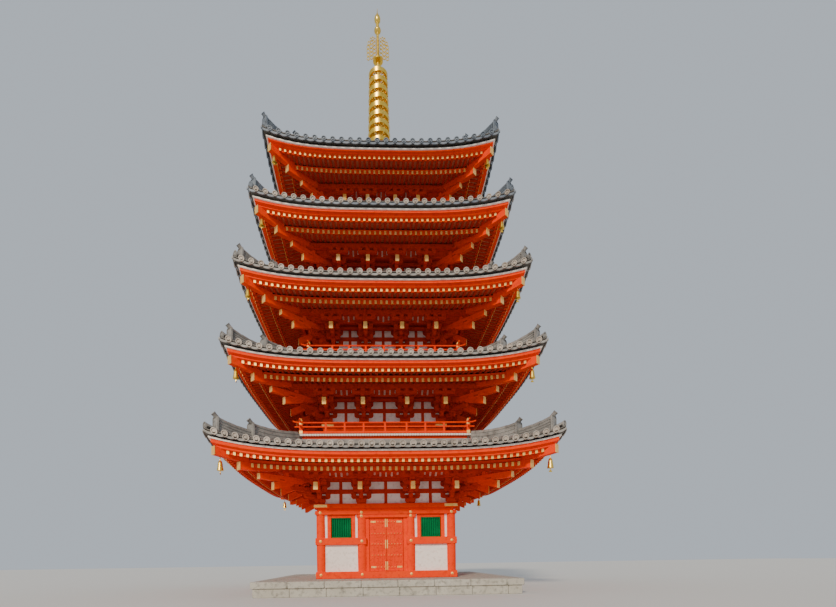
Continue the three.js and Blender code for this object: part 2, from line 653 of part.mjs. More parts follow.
function buildUpperWalls(name, sizes, floorTop) {
  const { half, pitch, plateTop } = sizes;
  const inside = half - UPPER_WALL.inside * pitch;
  const [plateReach, plateBottom] = [half + WALL_PLATE.reach * pitch, plateTop - WALL_PLATE.height * pitch];
  const ring = squareRing([
    [inside, floorTop], [half + WALL_HALF, floorTop], [half + WALL_HALF, plateBottom],
    [plateReach, plateBottom], [plateReach, plateTop], [inside, plateTop],
  ]);
  const radius = UPPER_WALL.columnRadius * pitch;
  const columns = columnPlaces(sizes).map(([x, y]) =>
    post(x, y, radius, floorTop, plateBottom, UPPER_WALL.columnSides));
  addPiece(name, joined([ring, ...columns]), PAINT.plaster);
}

// Spire

function turned(profile, sides = 16) {
  const outline = profile.map(([r, z]) => new THREE.Vector2(r, z));
  if (profile[0][0] > 0) outline.push(outline[0].clone());
  return new THREE.LatheGeometry(outline, sides).rotateX(Math.PI / 2);
}

function buildSpireFoot() {
  const { seat, boxTop, bowlTop, lotusTop } = SPIRE;
  const box = squareRing([
    [0, seat], [470, seat], [470, seat + 70], [420, seat + 90], [420, boxTop - 110],
    [480, boxTop - 80], [480, boxTop], [0, boxTop],
  ]);
  addPiece('spire_dew_basin', joined([box]), PAINT.gilt);
  const bowl = turned([
    [0, boxTop], [430, boxTop], [425, boxTop + 130], [360, boxTop + 270], [220, bowlTop - 20],
    [150, bowlTop], [150, bowlTop + 50], [330, bowlTop + 110], [470, lotusTop - 30], [480, lotusTop],
    [0, lotusTop],
  ], 12);
  addPiece('spire_bowl_and_lotus', joined([bowl]), PAINT.gilt);
}

function buildSpireRings() {
  const { lotusTop, shaftTop, ringFirst, ringPitch, rings, ringRadiusLow, ringRadiusHigh } = SPIRE;
  const { half, band, spokeHalfWidth, spokeHalfHeight, spokeInside, shaft, sides } = RING;
  const pieces = [post(0, 0, shaft, lotusTop, shaftTop)];
  for (let i = 0; i < rings; i += 1) {
    const z = ringFirst + i * ringPitch;
    const radius = ringRadiusLow + ((ringRadiusHigh - ringRadiusLow) * i) / (rings - 1);
    pieces.push(turned([
      [radius - band, z - half], [radius, z - half], [radius, z + half], [radius - band, z + half],
    ], sides));
    const reach = radius - spokeInside;
    const spokes = block(
      -reach, reach, -spokeHalfWidth, spokeHalfWidth, z - spokeHalfHeight, z + spokeHalfHeight,
    );
    pieces.push(quarterTurned(spokes, i % 2));
  }
  addPiece('spire_shaft_and_rings', joined(pieces), PAINT.gilt);
}

// Four upright flame blades on the shaft, each one openwork in the real spire.
function buildFlame() {
  const { shaftTop, flameTop } = SPIRE;
  const base = shaftTop + FLAME.over;
  const height = flameTop - FLAME.below - base;
  const outline = FLAME_OUTLINE.map(([r, up]) => [r * FLAME.width, base + up * height]);
  const blade = uprightPlate(outline, FLAME.thickness);
  const collar = turned([
    [0, shaftTop], [110, shaftTop], [225, shaftTop + 70], [225, shaftTop + 110], [70, shaftTop + 140],
    [60, flameTop], [0, flameTop],
  ], 8);
  addPiece('spire_water_flame', joined([collar, ...onAllSides(blade)]), PAINT.gilt);
}

function buildJewels() {
  const { flameTop, tip } = SPIRE;
  const jewels = [[0, 0], ...JEWEL_PROFILE].map(([r, up]) => [r, flameTop + up]);
  addPiece('spire_jewels', joined([turned([...jewels, [12, tip], [0, tip]], 8)]), PAINT.gilt);
}

// Assembly

function buildStoreys() {
  const sizes = STOREYS.map(measure);
  const balconies = BALCONY_FLOORS.map((floorTop, i) => balconySizes(sizes[i + 1], floorTop));
  buildPlatform(sizes[0]);
  buildGroundWalls(sizes[0]);
  buildHeadFrame(sizes[0]);
  buildDoors(sizes[0]);
  sizes.forEach((size, i) => {
    const label = `storey_${i + 1}`;
    const above = balconies[i];
    const rim = above ? size.collar : TOP_ROOF.rim;
    const rimZ = above ? above.beamBottom : SPIRE.seat;
    const surface = roofSurface(size, rim, rimZ, above ? EAVE_SLOPE : TOP_EAVE_SLOPE);
    const seatZ = above ? rimZ - TILE_BED : surface(size.collar) - TILE_BED - TOP_ROOF.ribDepth;
    if (i > 0) {
      buildBalcony(`${label}_balcony`, size, balconies[i - 1]);
      buildUpperWalls(`${label}_walls`, size, balconies[i - 1].floorTop);
    }
    buildBrackets(`${label}_brackets`, size);
    buildEave(`${label}_eave`, size, seatZ);
    const inner = (above ? above.beamEdge : rim) + CLEAR_OF_BEAM;
    const opening = above ? size.half - COLLAR_HALF : TOP_ROOF.opening;
    const ridgeStart = above ? above.floorEdge + CLEAR_OF_FLOOR : TOP_ROOF.ridgeStart;
    const ridge = hipRidge(size, surface, ridgeStart);
    const carried = [tileSlopes(size, surface, inner), tileBed(size, surface, opening, rim, rimZ, inner)];
    if (!above) carried.push(roofRib(size, surface, seatZ));
    addPiece(`${label}_roof`, joined([...carried, ...ridge.flatMap(onAllSides)]), PAINT.tile);
  });
}

buildStoreys();
buildSpireFoot();
buildSpireRings();
buildFlame();
buildJewels();

export default pagoda;
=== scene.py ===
"""Five-storey timber pagoda, dressed in paint, plaster, tiles, stone and gilt bronze.

Every length is in metres. The front door faces -Y, +Z is up and the origin lies on
the ground under the spire. Members of a storey are sized in its rafter pitch, as the
carpenters do, so one set of modelled parts serves all five storeys.
"""

import logging
import math
from dataclasses import dataclass, field
from enum import Enum
from typing import Callable, Iterable, Sequence

import bpy
import numpy as np
from mathutils import Matrix, Vector


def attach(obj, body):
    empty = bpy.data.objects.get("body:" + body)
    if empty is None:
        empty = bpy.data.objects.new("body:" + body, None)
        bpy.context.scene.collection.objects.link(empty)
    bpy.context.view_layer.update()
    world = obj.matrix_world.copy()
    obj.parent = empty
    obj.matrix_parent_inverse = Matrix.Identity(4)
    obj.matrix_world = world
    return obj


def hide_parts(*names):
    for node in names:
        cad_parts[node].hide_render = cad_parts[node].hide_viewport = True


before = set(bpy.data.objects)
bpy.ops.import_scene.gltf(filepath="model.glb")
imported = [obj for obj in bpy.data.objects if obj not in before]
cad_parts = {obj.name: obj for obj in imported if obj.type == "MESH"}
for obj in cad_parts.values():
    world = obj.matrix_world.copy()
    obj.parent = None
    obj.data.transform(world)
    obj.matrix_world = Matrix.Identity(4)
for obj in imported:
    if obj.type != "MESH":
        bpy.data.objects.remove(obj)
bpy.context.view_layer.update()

Socket = bpy.types.NodeSocket
Lengths = np.ndarray | float

log = logging.getLogger("pagoda")
QUARTER_TURNS = [Matrix.Rotation(turn * math.pi / 2, 4, "Z") for turn in range(4)]
EIGHTH_TURN = Matrix.Rotation(math.pi / 4, 4, "Z")
SIDES = ("front", "right", "back", "left")
CORNERS = ("front_left", "front_right", "back_right", "back_left")
SMOOTH_ANGLE = math.radians(38)
DIAGONAL = math.sqrt(2)
# Places of the colour sockets of a mix node, which has others by the same names.
MIX_A, MIX_B, MIX_RESULT = 6, 7, 2


class Slot(Enum):
    """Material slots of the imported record."""

    PAINTED_TIMBER = "painted_timber"
    PLASTER = "plastered_wall"
    WINDOW_BARS = "window_bars"
    DOOR_BOARDS = "door_boards"
    ROOF_TILE = "roof_tile"
    STONE = "stone"
    GILT_BRONZE = "gilt_bronze"


# Finishes


def linear(hex_colour: str) -> tuple[float, float, float, float]:
    """Turn an sRGB hex colour into the linear colour that a shader takes.

    Args:
        hex_colour: Six hex digits after a hash.

    Returns:
        Red, green, blue and a full alpha.
    """
    channels = [int(hex_colour[i : i + 2], 16) / 255 for i in (1, 3, 5)]
    red, green, blue = (c / 12.92 if c <= 0.04045 else ((c + 0.055) / 1.055) ** 2.4 for c in channels)
    return (red, green, blue, 1.0)


class Nodes:
    """Adds the shader nodes of one material, whose patterns all read the place on the object."""

    def __init__(self, material: bpy.types.Material, stretch: Sequence[float]) -> None:
        """Start with the shader and the place.

        Args:
            material: Material to add to.
            stretch: Scale of its patterns along each axis.
        """
        material.use_nodes = True
        self.tree = material.node_tree
        self.shader = self.tree.nodes["Principled BSDF"]
        place = self.add("ShaderNodeTexCoord").outputs["Object"]
        self.place = self.add("ShaderNodeMapping", {"Scale": stretch}, {"Vector": place}).outputs["Vector"]

    def add(self, kind: str, values: dict | None = None, links: dict | None = None) -> bpy.types.Node:
        """Add one node.

        Args:
            kind: Node type.
            values: Constants, by input socket.
            links: Output sockets that feed it, by input socket.

        Returns:
            The new node.
        """
        made = self.tree.nodes.new(kind)
        for socket, value in (values or {}).items():
            made.inputs[socket].default_value = value
        for socket, source in (links or {}).items():
            self.tree.links.new(source, made.inputs[socket])
        return made

    def feed(self, source: Socket, name: str) -> None:
        """Feed an input of the shader."""
        self.tree.links.new(source, self.shader.inputs[name])

    def noise(self, size: float, detail: float) -> Socket:
        """Return a noise with patches of this size."""
        values = {"Scale": 1 / size, "Detail": detail}
        return self.add("ShaderNodeTexNoise", values, {"Vector": self.place}).outputs["Fac"]

    def spread(self, source: Socket, ends: dict[str, float]) -> Socket:
        """Return a value mapped from one range to another, which run from 0 to 1 where not given."""
        return self.add("ShaderNodeMapRange", ends, {"Value": source}).outputs["Result"]

    def mixed(self, factor: Socket, first: Socket | str, second: Socket | str) -> Socket:
        """Return a mix of two colours, each a socket or a hex colour.

        Args:
            factor: Share of the second colour.
            first: The first colour.
            second: The second colour.

        Returns:
            The socket that carries the mix.
        """
        mix = self.add("ShaderNodeMix")
        mix.data_type = "RGBA"
        self.tree.links.new(factor, mix.inputs["Factor"])
        for socket, colour in ((MIX_A, first), (MIX_B, second)):
            if isinstance(colour, str):
                mix.inputs[socket].default_value = linear(colour)
            else:
                self.tree.links.new(colour, mix.inputs[socket])
        return mix.outputs[MIX_RESULT]


@dataclass(frozen=True)
class Finish:
    """A surface finish with a noise that varies its colour.

    Patch is the size of a colour patch, and grain the size of the fine relief. Gloss is
    the strength of the reflection, which a chalky paint has little of.
    """

    name: str
    base: str
    worn: str
    deep: str
    roughness: float
    patch: float = 0.6
    grain: float = 0.01
    relief: float = 0.001
    metallic: float = 0.0
    stretch: tuple[float, float, float] = (1.0, 1.0, 1.0)
    gloss: float = 0.5
    slot: Slot = Slot.PAINTED_TIMBER

    def material(self) -> bpy.types.Material:
        """Return the finish's material, which is made at its first use.

        Returns:
            The material.
        """
        known = bpy.data.materials.get(self.name)
        if known:
            return known
        made = bpy.data.materials.new(self.name)
        nodes = Nodes(made, self.stretch)
        nodes.shader.inputs["Metallic"].default_value = self.metallic
        nodes.shader.inputs["Specular IOR Level"].default_value = self.gloss
        nodes.feed(self.colour(nodes), "Base Color")
        grain = nodes.noise(self.grain, 2.0)
        rough = {"To Min": self.roughness - 0.08, "To Max": self.roughness + 0.1}
        nodes.feed(nodes.spread(grain, rough), "Roughness")
        bump = nodes.add("ShaderNodeBump", {"Strength": 0.5, "Distance": self.relief}, {"Height": grain})
        nodes.feed(bump.outputs["Normal"], "Normal")
        return made

    def colour(self, nodes: Nodes) -> Socket:
        """Return the base colour, mixed with its worn tone in patches and its deep tone in spots.

        Args:
            nodes: Nodes of the material.

        Returns:
            The socket that carries the colour.
        """
        wear = nodes.spread(nodes.noise(self.patch, 5.0), {"From Min": 0.45, "From Max": 0.75})
        depth = nodes.spread(nodes.noise(self.patch / 7, 3.0), {"From Min": 0.5, "From Max": 0.8})
        return nodes.mixed(depth, nodes.mixed(wear, self.base, self.worn), self.deep)


@dataclass(frozen=True)
class SmokedTile(Finish):
    """Smoke-fired clay tile. Every tile left the kiln in its own shade of grey."""

    slot: Slot = Slot.ROOF_TILE
    tile_size: float = 0.3

    def colour(self, nodes: Nodes) -> Socket:
        """Return the weathered colour, shaded by a cell pattern of the tiles' size.

        Args:
            nodes: Nodes of the material.

        Returns:
            The socket that carries the colour.
        """
        cells = nodes.add("ShaderNodeTexVoronoi", {"Scale": 1 / self.tile_size}, {"Vector": nodes.place})
        shade = nodes.spread(cells.outputs["Color"], {"To Max": 0.5})
        return nodes.mixed(shade, super().colour(nodes), self.worn)


@dataclass(frozen=True)
class Granite(Finish):
    """Dressed granite: pale stone with dark specks a few millimetres wide."""

    slot: Slot = Slot.STONE
    speck: float = 0.012

    def colour(self, nodes: Nodes) -> Socket:
        """Return the stone's own tones with specks scattered over them.

        Args:
            nodes: Nodes of the material.

        Returns:
            The socket that carries the colour.
        """
        specks = {"From Min": 0.56, "From Max": 0.66, "To Max": 0.6}
        dots = nodes.spread(nodes.noise(self.speck, 1.0), specks)
        return nodes.mixed(dots, super().colour(nodes), self.deep)


# Brushed red lead paint on cypress: an even, strong orange red, chalky with hardly any sheen.
VERMILION = Finish(
    "vermilion_paint_on_cypress", "#FF4000", "#FF4E00", "#E23200",
    roughness=0.6, patch=0.9, grain=0.012, relief=0.0006, gloss=0.08,
)
# The same paint under the eaves, its colour darkened as painted shade for the shadow that the eaves cast
# there.
SHADED_VERMILION = Finish(
    "vermilion_with_painted_eave_shade", "#D02C00", "#DC3800", "#9A1C00",
    roughness=0.7, patch=0.7, grain=0.012, relief=0.0006, gloss=0.08,
)
# Lime plaster, trowelled flat: matt white that greys a little in patches.
PLASTER = Finish(
    "lime_plaster", "#FFF8F0", "#F4EAE0", "#DDD0C4", slot=Slot.PLASTER,
    roughness=0.88, patch=0.8, grain=0.006, relief=0.0008,
)
# Chalk-white distemper on the curved ribs between the brackets, darkened to a dull pink as painted shade
# for the shadow under the eaves.
SHADED_RIB_WHITEWASH = Finish(
    "rib_whitewash_with_painted_shade", "#D2A89A", "#C09486", "#9A6E60",
    roughness=0.85, patch=0.5, grain=0.02, relief=0.0008,
)
# The same distemper on the boards between the rafters, painted a dark pink: painted shade for the shadow
# between the rafters, with a pink cast of painted light bounced off the red paint around.
SHADED_SOFFIT_WHITEWASH = Finish(
    "soffit_whitewash_with_painted_shade", "#D87858", "#C86848", "#9C4830",
    roughness=0.85, patch=0.5, grain=0.02, relief=0.0008,
)
# Bright white gofun paint on the edge of the boards, which the sun and rain keep clean.
WHITE_EDGE = Finish(
    "white_shell_paint", "#FFF7EC", "#F4E9DC", "#E2D3C4",
    roughness=0.7, patch=0.7, grain=0.01, relief=0.0004,
)
# Copper green paint on the window bars.
GREEN = Finish(
    "copper_green_paint", "#007A44", "#0A8A50", "#00522C", slot=Slot.WINDOW_BARS,
    roughness=0.6, patch=0.4, grain=0.01, relief=0.0005, gloss=0.15,
)
# Door boards under the same red paint, a little redder than the beams.
DOOR_PAINT = Finish(
    "red_lead_paint_on_boards", "#F83C00", "#FF4C00", "#CC2E00", slot=Slot.DOOR_BOARDS,
    roughness=0.55, patch=0.5, grain=0.012, relief=0.0005, gloss=0.1,
)
# Cast and gilt bronze: warm yellow metal with soft reflections.
GILT = Finish(
    "cast_gilt_bronze", "#F8CC50", "#FFDC74", "#A88420", slot=Slot.GILT_BRONZE,
    roughness=0.3, patch=0.35, grain=0.02, relief=0.0006, metallic=1.0,
)
# Thin gilt copper caps over the rafter ends, rougher than the castings. Their pale colour and weak metal
# are painted light that stands in for the bright reflections the caps catch in the shade of the eaves.
GILT_CAP = Finish(
    "gilt_copper_sheet_with_painted_light", "#FFCB6C", "#FFE09C", "#E0A044", slot=Slot.GILT_BRONZE,
    roughness=0.45, patch=0.3, grain=0.015, relief=0.0005, metallic=0.4,
)
# Scrubbed floor boards with the grain along Y.
FLOOR_BOARDS = Finish(
    "worn_floor_boards", "#9C5A38", "#B27450", "#6E3A22", slot=Slot.DOOR_BOARDS,
    roughness=0.65, patch=0.3, grain=0.012, relief=0.001, stretch=(6.0, 0.7, 6.0),
)
# Smoke-fired clay tiles: a dull silver grey with a slight sheen, browned by dust on the lower roofs.
TILE = SmokedTile(
    "smoked_clay_tile", "#7B7772", "#A8A49E", "#4A4744",
    roughness=0.5, patch=0.7, grain=0.008, relief=0.001,
)
# The same tiles high up, where the rain washes them: blue grey and darker.
WASHED_TILE = SmokedTile(
    "rain_washed_clay_tile", "#5C6672", "#8E959C", "#363E48",
    roughness=0.45, patch=0.7, grain=0.008, relief=0.001,
)
# Pan tiles in the gutters between the rows, painted darker than the covers as painted shade for the shadow
# in the troughs.
SHADED_PAN_TILE = SmokedTile(
    "pan_tile_with_painted_shade", "#57524D", "#77716A", "#332F2C",
    roughness=0.55, patch=0.5, grain=0.008, relief=0.001,
)
# The round end tiles, painted paler than the roof tiles as painted light on their faces, which turn to the
# low key light.
LIT_TILE_END = SmokedTile(
    "end_tile_with_painted_light", "#9A8D80", "#D0C3B6", "#4E4640",
    roughness=0.5, patch=0.3, grain=0.008, relief=0.001,
)
# Bush-hammered granite.
STONE = Granite(
    "bush_hammered_granite", "#B9B4A6", "#C8C3B6", "#7C776C",
    roughness=0.85, patch=0.9, grain=0.006, relief=0.0015,
)


# Modelling


@dataclass
class Shape:
    """Points and faces of a modelled part, ready to be copied into place."""

    points: np.ndarray
    corners: np.ndarray
    sizes: np.ndarray

    def moved(self, matrix: Matrix) -> "Shape":
        """Return a copy under a matrix, its faces still pointing outwards."""
        turn, shift = np.array(matrix.to_3x3()), np.array(matrix.translation)
        return self.mapped(lambda points: points @ turn.T + shift, matrix.determinant() < 0)

    def mapped(self, place: Callable[[np.ndarray], np.ndarray], mirrored: bool = False) -> "Shape":
        """Return a copy with its points sent through a function, which may turn it inside out."""
        step = -1 if mirrored else 1
        return Shape(place(self.points), self.corners[::step], self.sizes[::step])


def gathered(shapes: Iterable[Shape]) -> Shape:
    """Return one shape made of several.

    Args:
        shapes: The shapes.

    Returns:
        The one shape.
    """
    shapes = list(shapes)
    starts = np.cumsum([0] + [len(shape.points) for shape in shapes[:-1]])
    return Shape(
        np.concatenate([shape.points for shape in shapes]),
        np.concatenate([shape.corners + start for shape, start in zip(shapes, starts)]),
        np.concatenate([shape.sizes for shape in shapes]),
    )


class Bench:
    """Where one part at a time is modelled, from a primitive worked in edit mode."""

    def __init__(self) -> None:
        """Start with an empty bench."""
        self.part: bpy.types.Object | None = None

    def start(self, adder: Callable, **settings: object) -> None:
        """Lay a primitive on the bench, with nothing else selected.

        Args:
            adder: Operator that adds the primitive.
            **settings: The operator's settings.
        """
        bpy.ops.object.select_all(action="DESELECT")
        adder(**settings)
        self.part = bpy.context.object
        bpy.ops.object.transform_apply(location=True, rotation=True, scale=True)

    def block(self, size: Sequence[float], centre: Sequence[float] = (0.0, 0.0, 0.0)) -> None:
        """Lay a block on the bench, to be cut and bevelled."""
        self.start(bpy.ops.mesh.primitive_cube_add, size=1, location=centre, scale=size)

    def cylinder(
        self, sides: int, radius: float, length: float, axis: str, centre: Sequence[float] = (0.0, 0.0, 0.0)
    ) -> None:
        """Lay a cylinder on the bench, along X, Y or Z.

        Args:
            sides: Number of its sides.
            radius: Its radius.
            length: Its length.
            axis: X, Y or Z, which it lies along.
            centre: Its middle.
        """
        self.start(
            bpy.ops.mesh.primitive_cylinder_add,
            vertices=sides,
            radius=radius,
            depth=length,
            location=centre,
            rotation={"X": (0, math.pi / 2, 0), "Y": (math.pi / 2, 0, 0), "Z": (0, 0, 0)}[axis],
        )

    def ring(self, sides: int, depth: float, width: float, axis: str) -> None:
        """Lay a flat ring of radius 1 on the bench, round X, Y or Z.

        Args:
            sides: Number of its sides.
            depth: Its depth.
            width: Width of its flat face.
            axis: Axis that it lies round.
        """
        self.cylinder(sides, 1, depth, axis)
        self.pick("FACE", lambda middle, normal: abs(normal["XYZ".index(axis)]) > 0.9)
        self.work(bpy.ops.mesh.inset, thickness=width)
        self.work(bpy.ops.mesh.bridge_edge_loops)

    def pick(self, kind: str, test: Callable[[Vector, Vector], bool]) -> None:
        """Select faces or edges by place.

        Args:
            kind: FACE or EDGE.
            test: Takes the middle of the face or edge and its normal or direction.
        """
        mesh = self.part.data
        bpy.context.tool_settings.mesh_select_mode = (False, kind == "EDGE", kind == "FACE")
        for group in (mesh.vertices, mesh.edges, mesh.polygons):
            group.foreach_set("select", [False] * len(group))
        if kind == "FACE":
            for face in mesh.polygons:
                face.select = test(face.center, face.normal)
            return
        for edge in mesh.edges:
            first, last = (mesh.vertices[number].co for number in edge.vertices)
            edge.select = test((first + last) / 2, (last - first).normalized())

    def pick_all(self) -> None:
        """Select every face."""
        self.pick("FACE", lambda middle, normal: True)

    def pick_facing(self, *way: float) -> None:
        """Select the faces that look this way."""
        self.pick("FACE", lambda middle, normal: normal.dot(Vector(way)) > 0.9)

    def cut(self, axis: Vector, places: Iterable[float]) -> None:
        """Cut all faces by planes across an axis.

        Args:
            axis: Axis that the planes lie across.
            places: Places of the planes along the axis.
        """
        for place in places:
            self.pick_all()
            self.work(bpy.ops.mesh.bisect, plane_co=place * axis, plane_no=axis)

    def work(self, operator: Callable, **settings: object) -> None:
        """Run one edit mode operator on what is selected.

        Args:
            operator: The operator.
            **settings: The operator's settings.
        """
        bpy.ops.object.mode_set(mode="EDIT")
        operator(**settings)
        bpy.ops.object.mode_set(mode="OBJECT")

    def extrude(self, shift: Sequence[float], scale: Sequence[float] = (1.0, 1.0, 1.0)) -> None:
        """Extrude the selected faces, then scale them about their middle.

        Args:
            shift: How far the new faces move.
            scale: Their scale along X, Y and Z.
        """
        bpy.ops.object.mode_set(mode="EDIT")
        bpy.ops.mesh.extrude_region_move(TRANSFORM_OT_translate={"value": shift})
        bpy.ops.transform.resize(value=scale)
        bpy.ops.object.mode_set(mode="OBJECT")

    def take(self) -> Shape:
        """Clear the bench and return what lay on it.

        Returns:
            What lay on the bench.
        """
        mesh = self.part.data
        points = np.empty(len(mesh.vertices) * 3)
        corners = np.empty(len(mesh.loops), np.int64)
        sizes = np.empty(len(mesh.polygons), np.int64)
        mesh.vertices.foreach_get("co", points)
        mesh.loops.foreach_get("vertex_index", corners)
        mesh.polygons.foreach_get("loop_total", sizes)
        bpy.data.objects.remove(self.part)
        bpy.data.meshes.remove(mesh)
        return Shape(points.reshape(-1, 3), corners, sizes)


BENCH = Bench()
X_AXIS, Y_AXIS = Vector((1, 0, 0)), Vector((0, 1, 0))


def timber(size: Sequence[float], centre: Sequence[float] = (0.0, 0.0, 0.0), bevel: float = 0.01) -> Shape:
    """Return a squared timber or stone with eased edges.

    Args:
        size: Its size along X, Y and Z.
        centre: Its middle.
        bevel: Width of the eased edges.

    Returns:
        The timber or stone.
    """
    BENCH.block(size, centre)
    BENCH.pick_all()
    BENCH.work(bpy.ops.mesh.bevel, offset=bevel, segments=1, affect="EDGES")
    return BENCH.take()


def between(
    x: Sequence[float], y: Sequence[float], z: Sequence[float], bevel: float = 0.01
) -> Shape:
    """Return a squared timber that runs from one end to the other along each axis."""
    low, high = np.sort([x, y, z]).T
    return timber(tuple(high - low), tuple((low + high) / 2), bevel)


def lapped_beam(edge: float, depth: float, low: float, high: float, bevel: float = 0.012) -> Shape:
    """Return one side's beam of a square ring, which covers one corner of its two."""
    return between((-edge, edge - depth), (-edge, depth - edge), (low, high), bevel)


def arm(length: float, width: float, height: float) -> Shape:
    """Return a bracket arm along X, its top at height, both ends rounded below.

    Args:
        length: Its length.
        width: Its width across X.
        height: Its height.

    Returns:
        The arm.
    """
    BENCH.block((length, width, height), (0, 0, height / 2))
    BENCH.pick("EDGE", lambda middle, way: middle.z < height * 0.1 and abs(way.y) > 0.9)
    BENCH.work(bpy.ops.mesh.bevel, offset=height * 0.72, segments=3, affect="EDGES")
    return BENCH.take()


def bearing_block(width: float, height: float) -> Shape:
    """Return a bracket block: square above, narrowed to its seat below.

    Args:
        width: Its width.
        height: Its height.

    Returns:
        The block.
    """
    BENCH.block((width, width, height * 0.55), (0, 0, height * 0.725))
    BENCH.pick_facing(0, 0, -1)
    BENCH.extrude((0, 0, -height * 0.2), (0.86, 0.86, 1.0))
    BENCH.extrude((0, 0, -height * 0.25), (0.82, 0.82, 1.0))
    return BENCH.take()


def turned(profile: Sequence[tuple[float, float]], sides: int = 24) -> Shape:
    """Return a turned shape.

    Args:
        profile: Radius and height of each ring, from the bottom up.
        sides: Number of faces round it.

    Returns:
        The shape, standing on the Z axis.
    """
    radius, height = profile[0]
    BENCH.start(
        bpy.ops.mesh.primitive_circle_add,
        vertices=sides,
        radius=radius,
        location=(0, 0, height),
        fill_type="NGON",
    )
    BENCH.pick_all()
    bpy.ops.object.mode_set(mode="EDIT")
    for next_radius, next_height in profile[1:]:
        bpy.ops.mesh.extrude_region_move(TRANSFORM_OT_translate={"value": (0, 0, next_height - height)})
        grow = next_radius / radius
        bpy.ops.transform.resize(value=(grow, grow, 1), center_override=(0, 0, next_height))
        radius, height = next_radius, next_height
    bpy.ops.mesh.select_all(action="SELECT")
    bpy.ops.mesh.normals_make_consistent(inside=False)
    bpy.ops.object.mode_set(mode="OBJECT")
    return BENCH.take()


def strip(cells: int) -> Shape:
    """Return a bar from -1 to 1 along X, and 0 to 1 in Y and Z, cut into cells along X.

    Args:
        cells: Number of cells.

    Returns:
        The bar.
    """
    BENCH.block((2, 1, 1), (0, 0.5, 0.5))
    BENCH.cut(X_AXIS, [2 * number / cells - 1 for number in range(1, cells)])
    return BENCH.take()


# Bars to bend into the long members of all sub-assemblies.
LONG_BAR, SHORT_BAR = strip(18), strip(5)


def tile_disc(radius: float, depth: float) -> Shape:
    """Return the round end of a cover tile, facing -Y, with a rim and a boss.

    Args:
        radius: Its radius.
        depth: Its depth.

    Returns:
        The disc.
    """
    BENCH.cylinder(14, radius, depth, "Y")
    BENCH.pick_facing(0, -1, 0)
    BENCH.work(bpy.ops.mesh.inset, thickness=radius * 0.22)
    BENCH.extrude((0, depth * 0.6, 0), (0.94, 1.0, 0.94))
    BENCH.work(bpy.ops.mesh.inset, thickness=radius * 0.28)
    BENCH.extrude((0, -depth * 0.5, 0), (0.75, 1.0, 0.75))
    return BENCH.take()


def cover_tile(radius: float, length: float) -> Shape:
    """Return a half-round cover tile along -Y from 0 to its length, a little wider at the outer end.

    Args:
        radius: Its radius.
        length: Its length.

    Returns:
        The tile.
    """
    BENCH.cylinder(12, radius, length, "Y", (0, -length / 2, 0))
    BENCH.pick_all()
    BENCH.work(
        bpy.ops.mesh.bisect, plane_co=(0, 0, 0), plane_no=(0, 0, 1), use_fill=True, clear_inner=True
    )
    BENCH.pick_facing(0, -1, 0)
    BENCH.work(bpy.ops.transform.resize, value=(1.12, 1.0, 1.12), center_override=(0, -length, 0))
    return BENCH.take()


def pan_tile(width: float, length: float, thickness: float = 0.03) -> Shape:
    """Return a flat pan tile along -Y, hollow across, its outer end proud of the next.

    Args:
        width: Its width.
        length: Its length.
        thickness: Its thickness.

    Returns:
        The tile.
    """
    BENCH.block((width, length, thickness), (0, -length / 2, -thickness / 2))
    BENCH.cut(X_AXIS, (-0.25 * width, 0.0, 0.25 * width))
    tile = BENCH.take()
    points = tile.points
    points[:, 2] -= 0.035 * (1 - (2 * points[:, 0] / width) ** 2)
    points[:, 2] += 0.022 * (-points[:, 1] / length)
    return tile


def nail_cover(radius: float) -> Shape:
    """Return a domed nail cover that faces -Y."""
    profile = [(radius, 0), (radius, 0.012), (radius * 0.62, 0.018), (radius * 0.5, 0.04), (0.004, 0.052)]
    return turned(profile, 12).moved(Matrix.Rotation(math.pi / 2, 4, "X"))


class Cluster:
    """Copies of modelled parts that make one piece in one finish."""

    def __init__(self, name: str, finish: Finish) -> None:
        """Start an empty piece, with one finish all over it.

        Args:
            name: The piece's name.
            finish: The piece's finish.
        """
        self.name = name
        self.finish = finish
        self.shapes: list[Shape] = []

    def add(self, shape: Shape, *matrices: Matrix) -> None:
        """Add a copy of the shape under each matrix, or as it is."""
        self.shapes.extend([shape.moved(matrix) for matrix in matrices] or [shape])

    def add_on_sides(self, *shapes: Shape) -> None:
        """Add the shapes to all four sides."""
        for shape in shapes:
            self.add(shape, *QUARTER_TURNS)

    def repeat_on_sides(self, shape: Shape, places: Iterable[Matrix]) -> None:
        """Add the shape at these places of the front side, and so to all four sides."""
        self.add_on_sides(*[shape.moved(place) for place in places])

    def make(self, body: str = "building", replaces: Sequence[str] = ()) -> None:
        """Make the piece's object, in place and in its finish.

        Args:
            body: Body that it rides on.
            replaces: CAD nodes that it stands for.
        """
        whole = gathered(self.shapes)
        mesh = bpy.data.meshes.new(self.name)
        mesh.vertices.add(len(whole.points))
        mesh.vertices.foreach_set("co", whole.points.ravel())
        mesh.loops.add(len(whole.corners))
        mesh.loops.foreach_set("vertex_index", whole.corners)
        mesh.polygons.add(len(whole.sizes))
        mesh.polygons.foreach_set("loop_start", np.cumsum(whole.sizes) - whole.sizes)
        mesh.update(calc_edges=True)
        mesh.validate()
        mesh.materials.append(self.finish.material())
        piece = bpy.data.objects.new(self.name, mesh)
        bpy.context.scene.collection.objects.link(piece)
        bpy.ops.object.select_all(action="DESELECT")
        bpy.context.view_layer.objects.active = piece
        piece.select_set(True)
        bpy.ops.object.shade_smooth_by_angle(angle=SMOOTH_ANGLE)
        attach(piece, body)
        if replaces:
            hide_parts(*replaces)
        log.info("%s: %d faces", self.name, len(whole.sizes))


def shifted(x: float = 0.0, y: float = 0.0, z: float = 0.0) -> Matrix:
    """Return a matrix that moves by these lengths."""
    return Matrix.Translation((x, y, z))


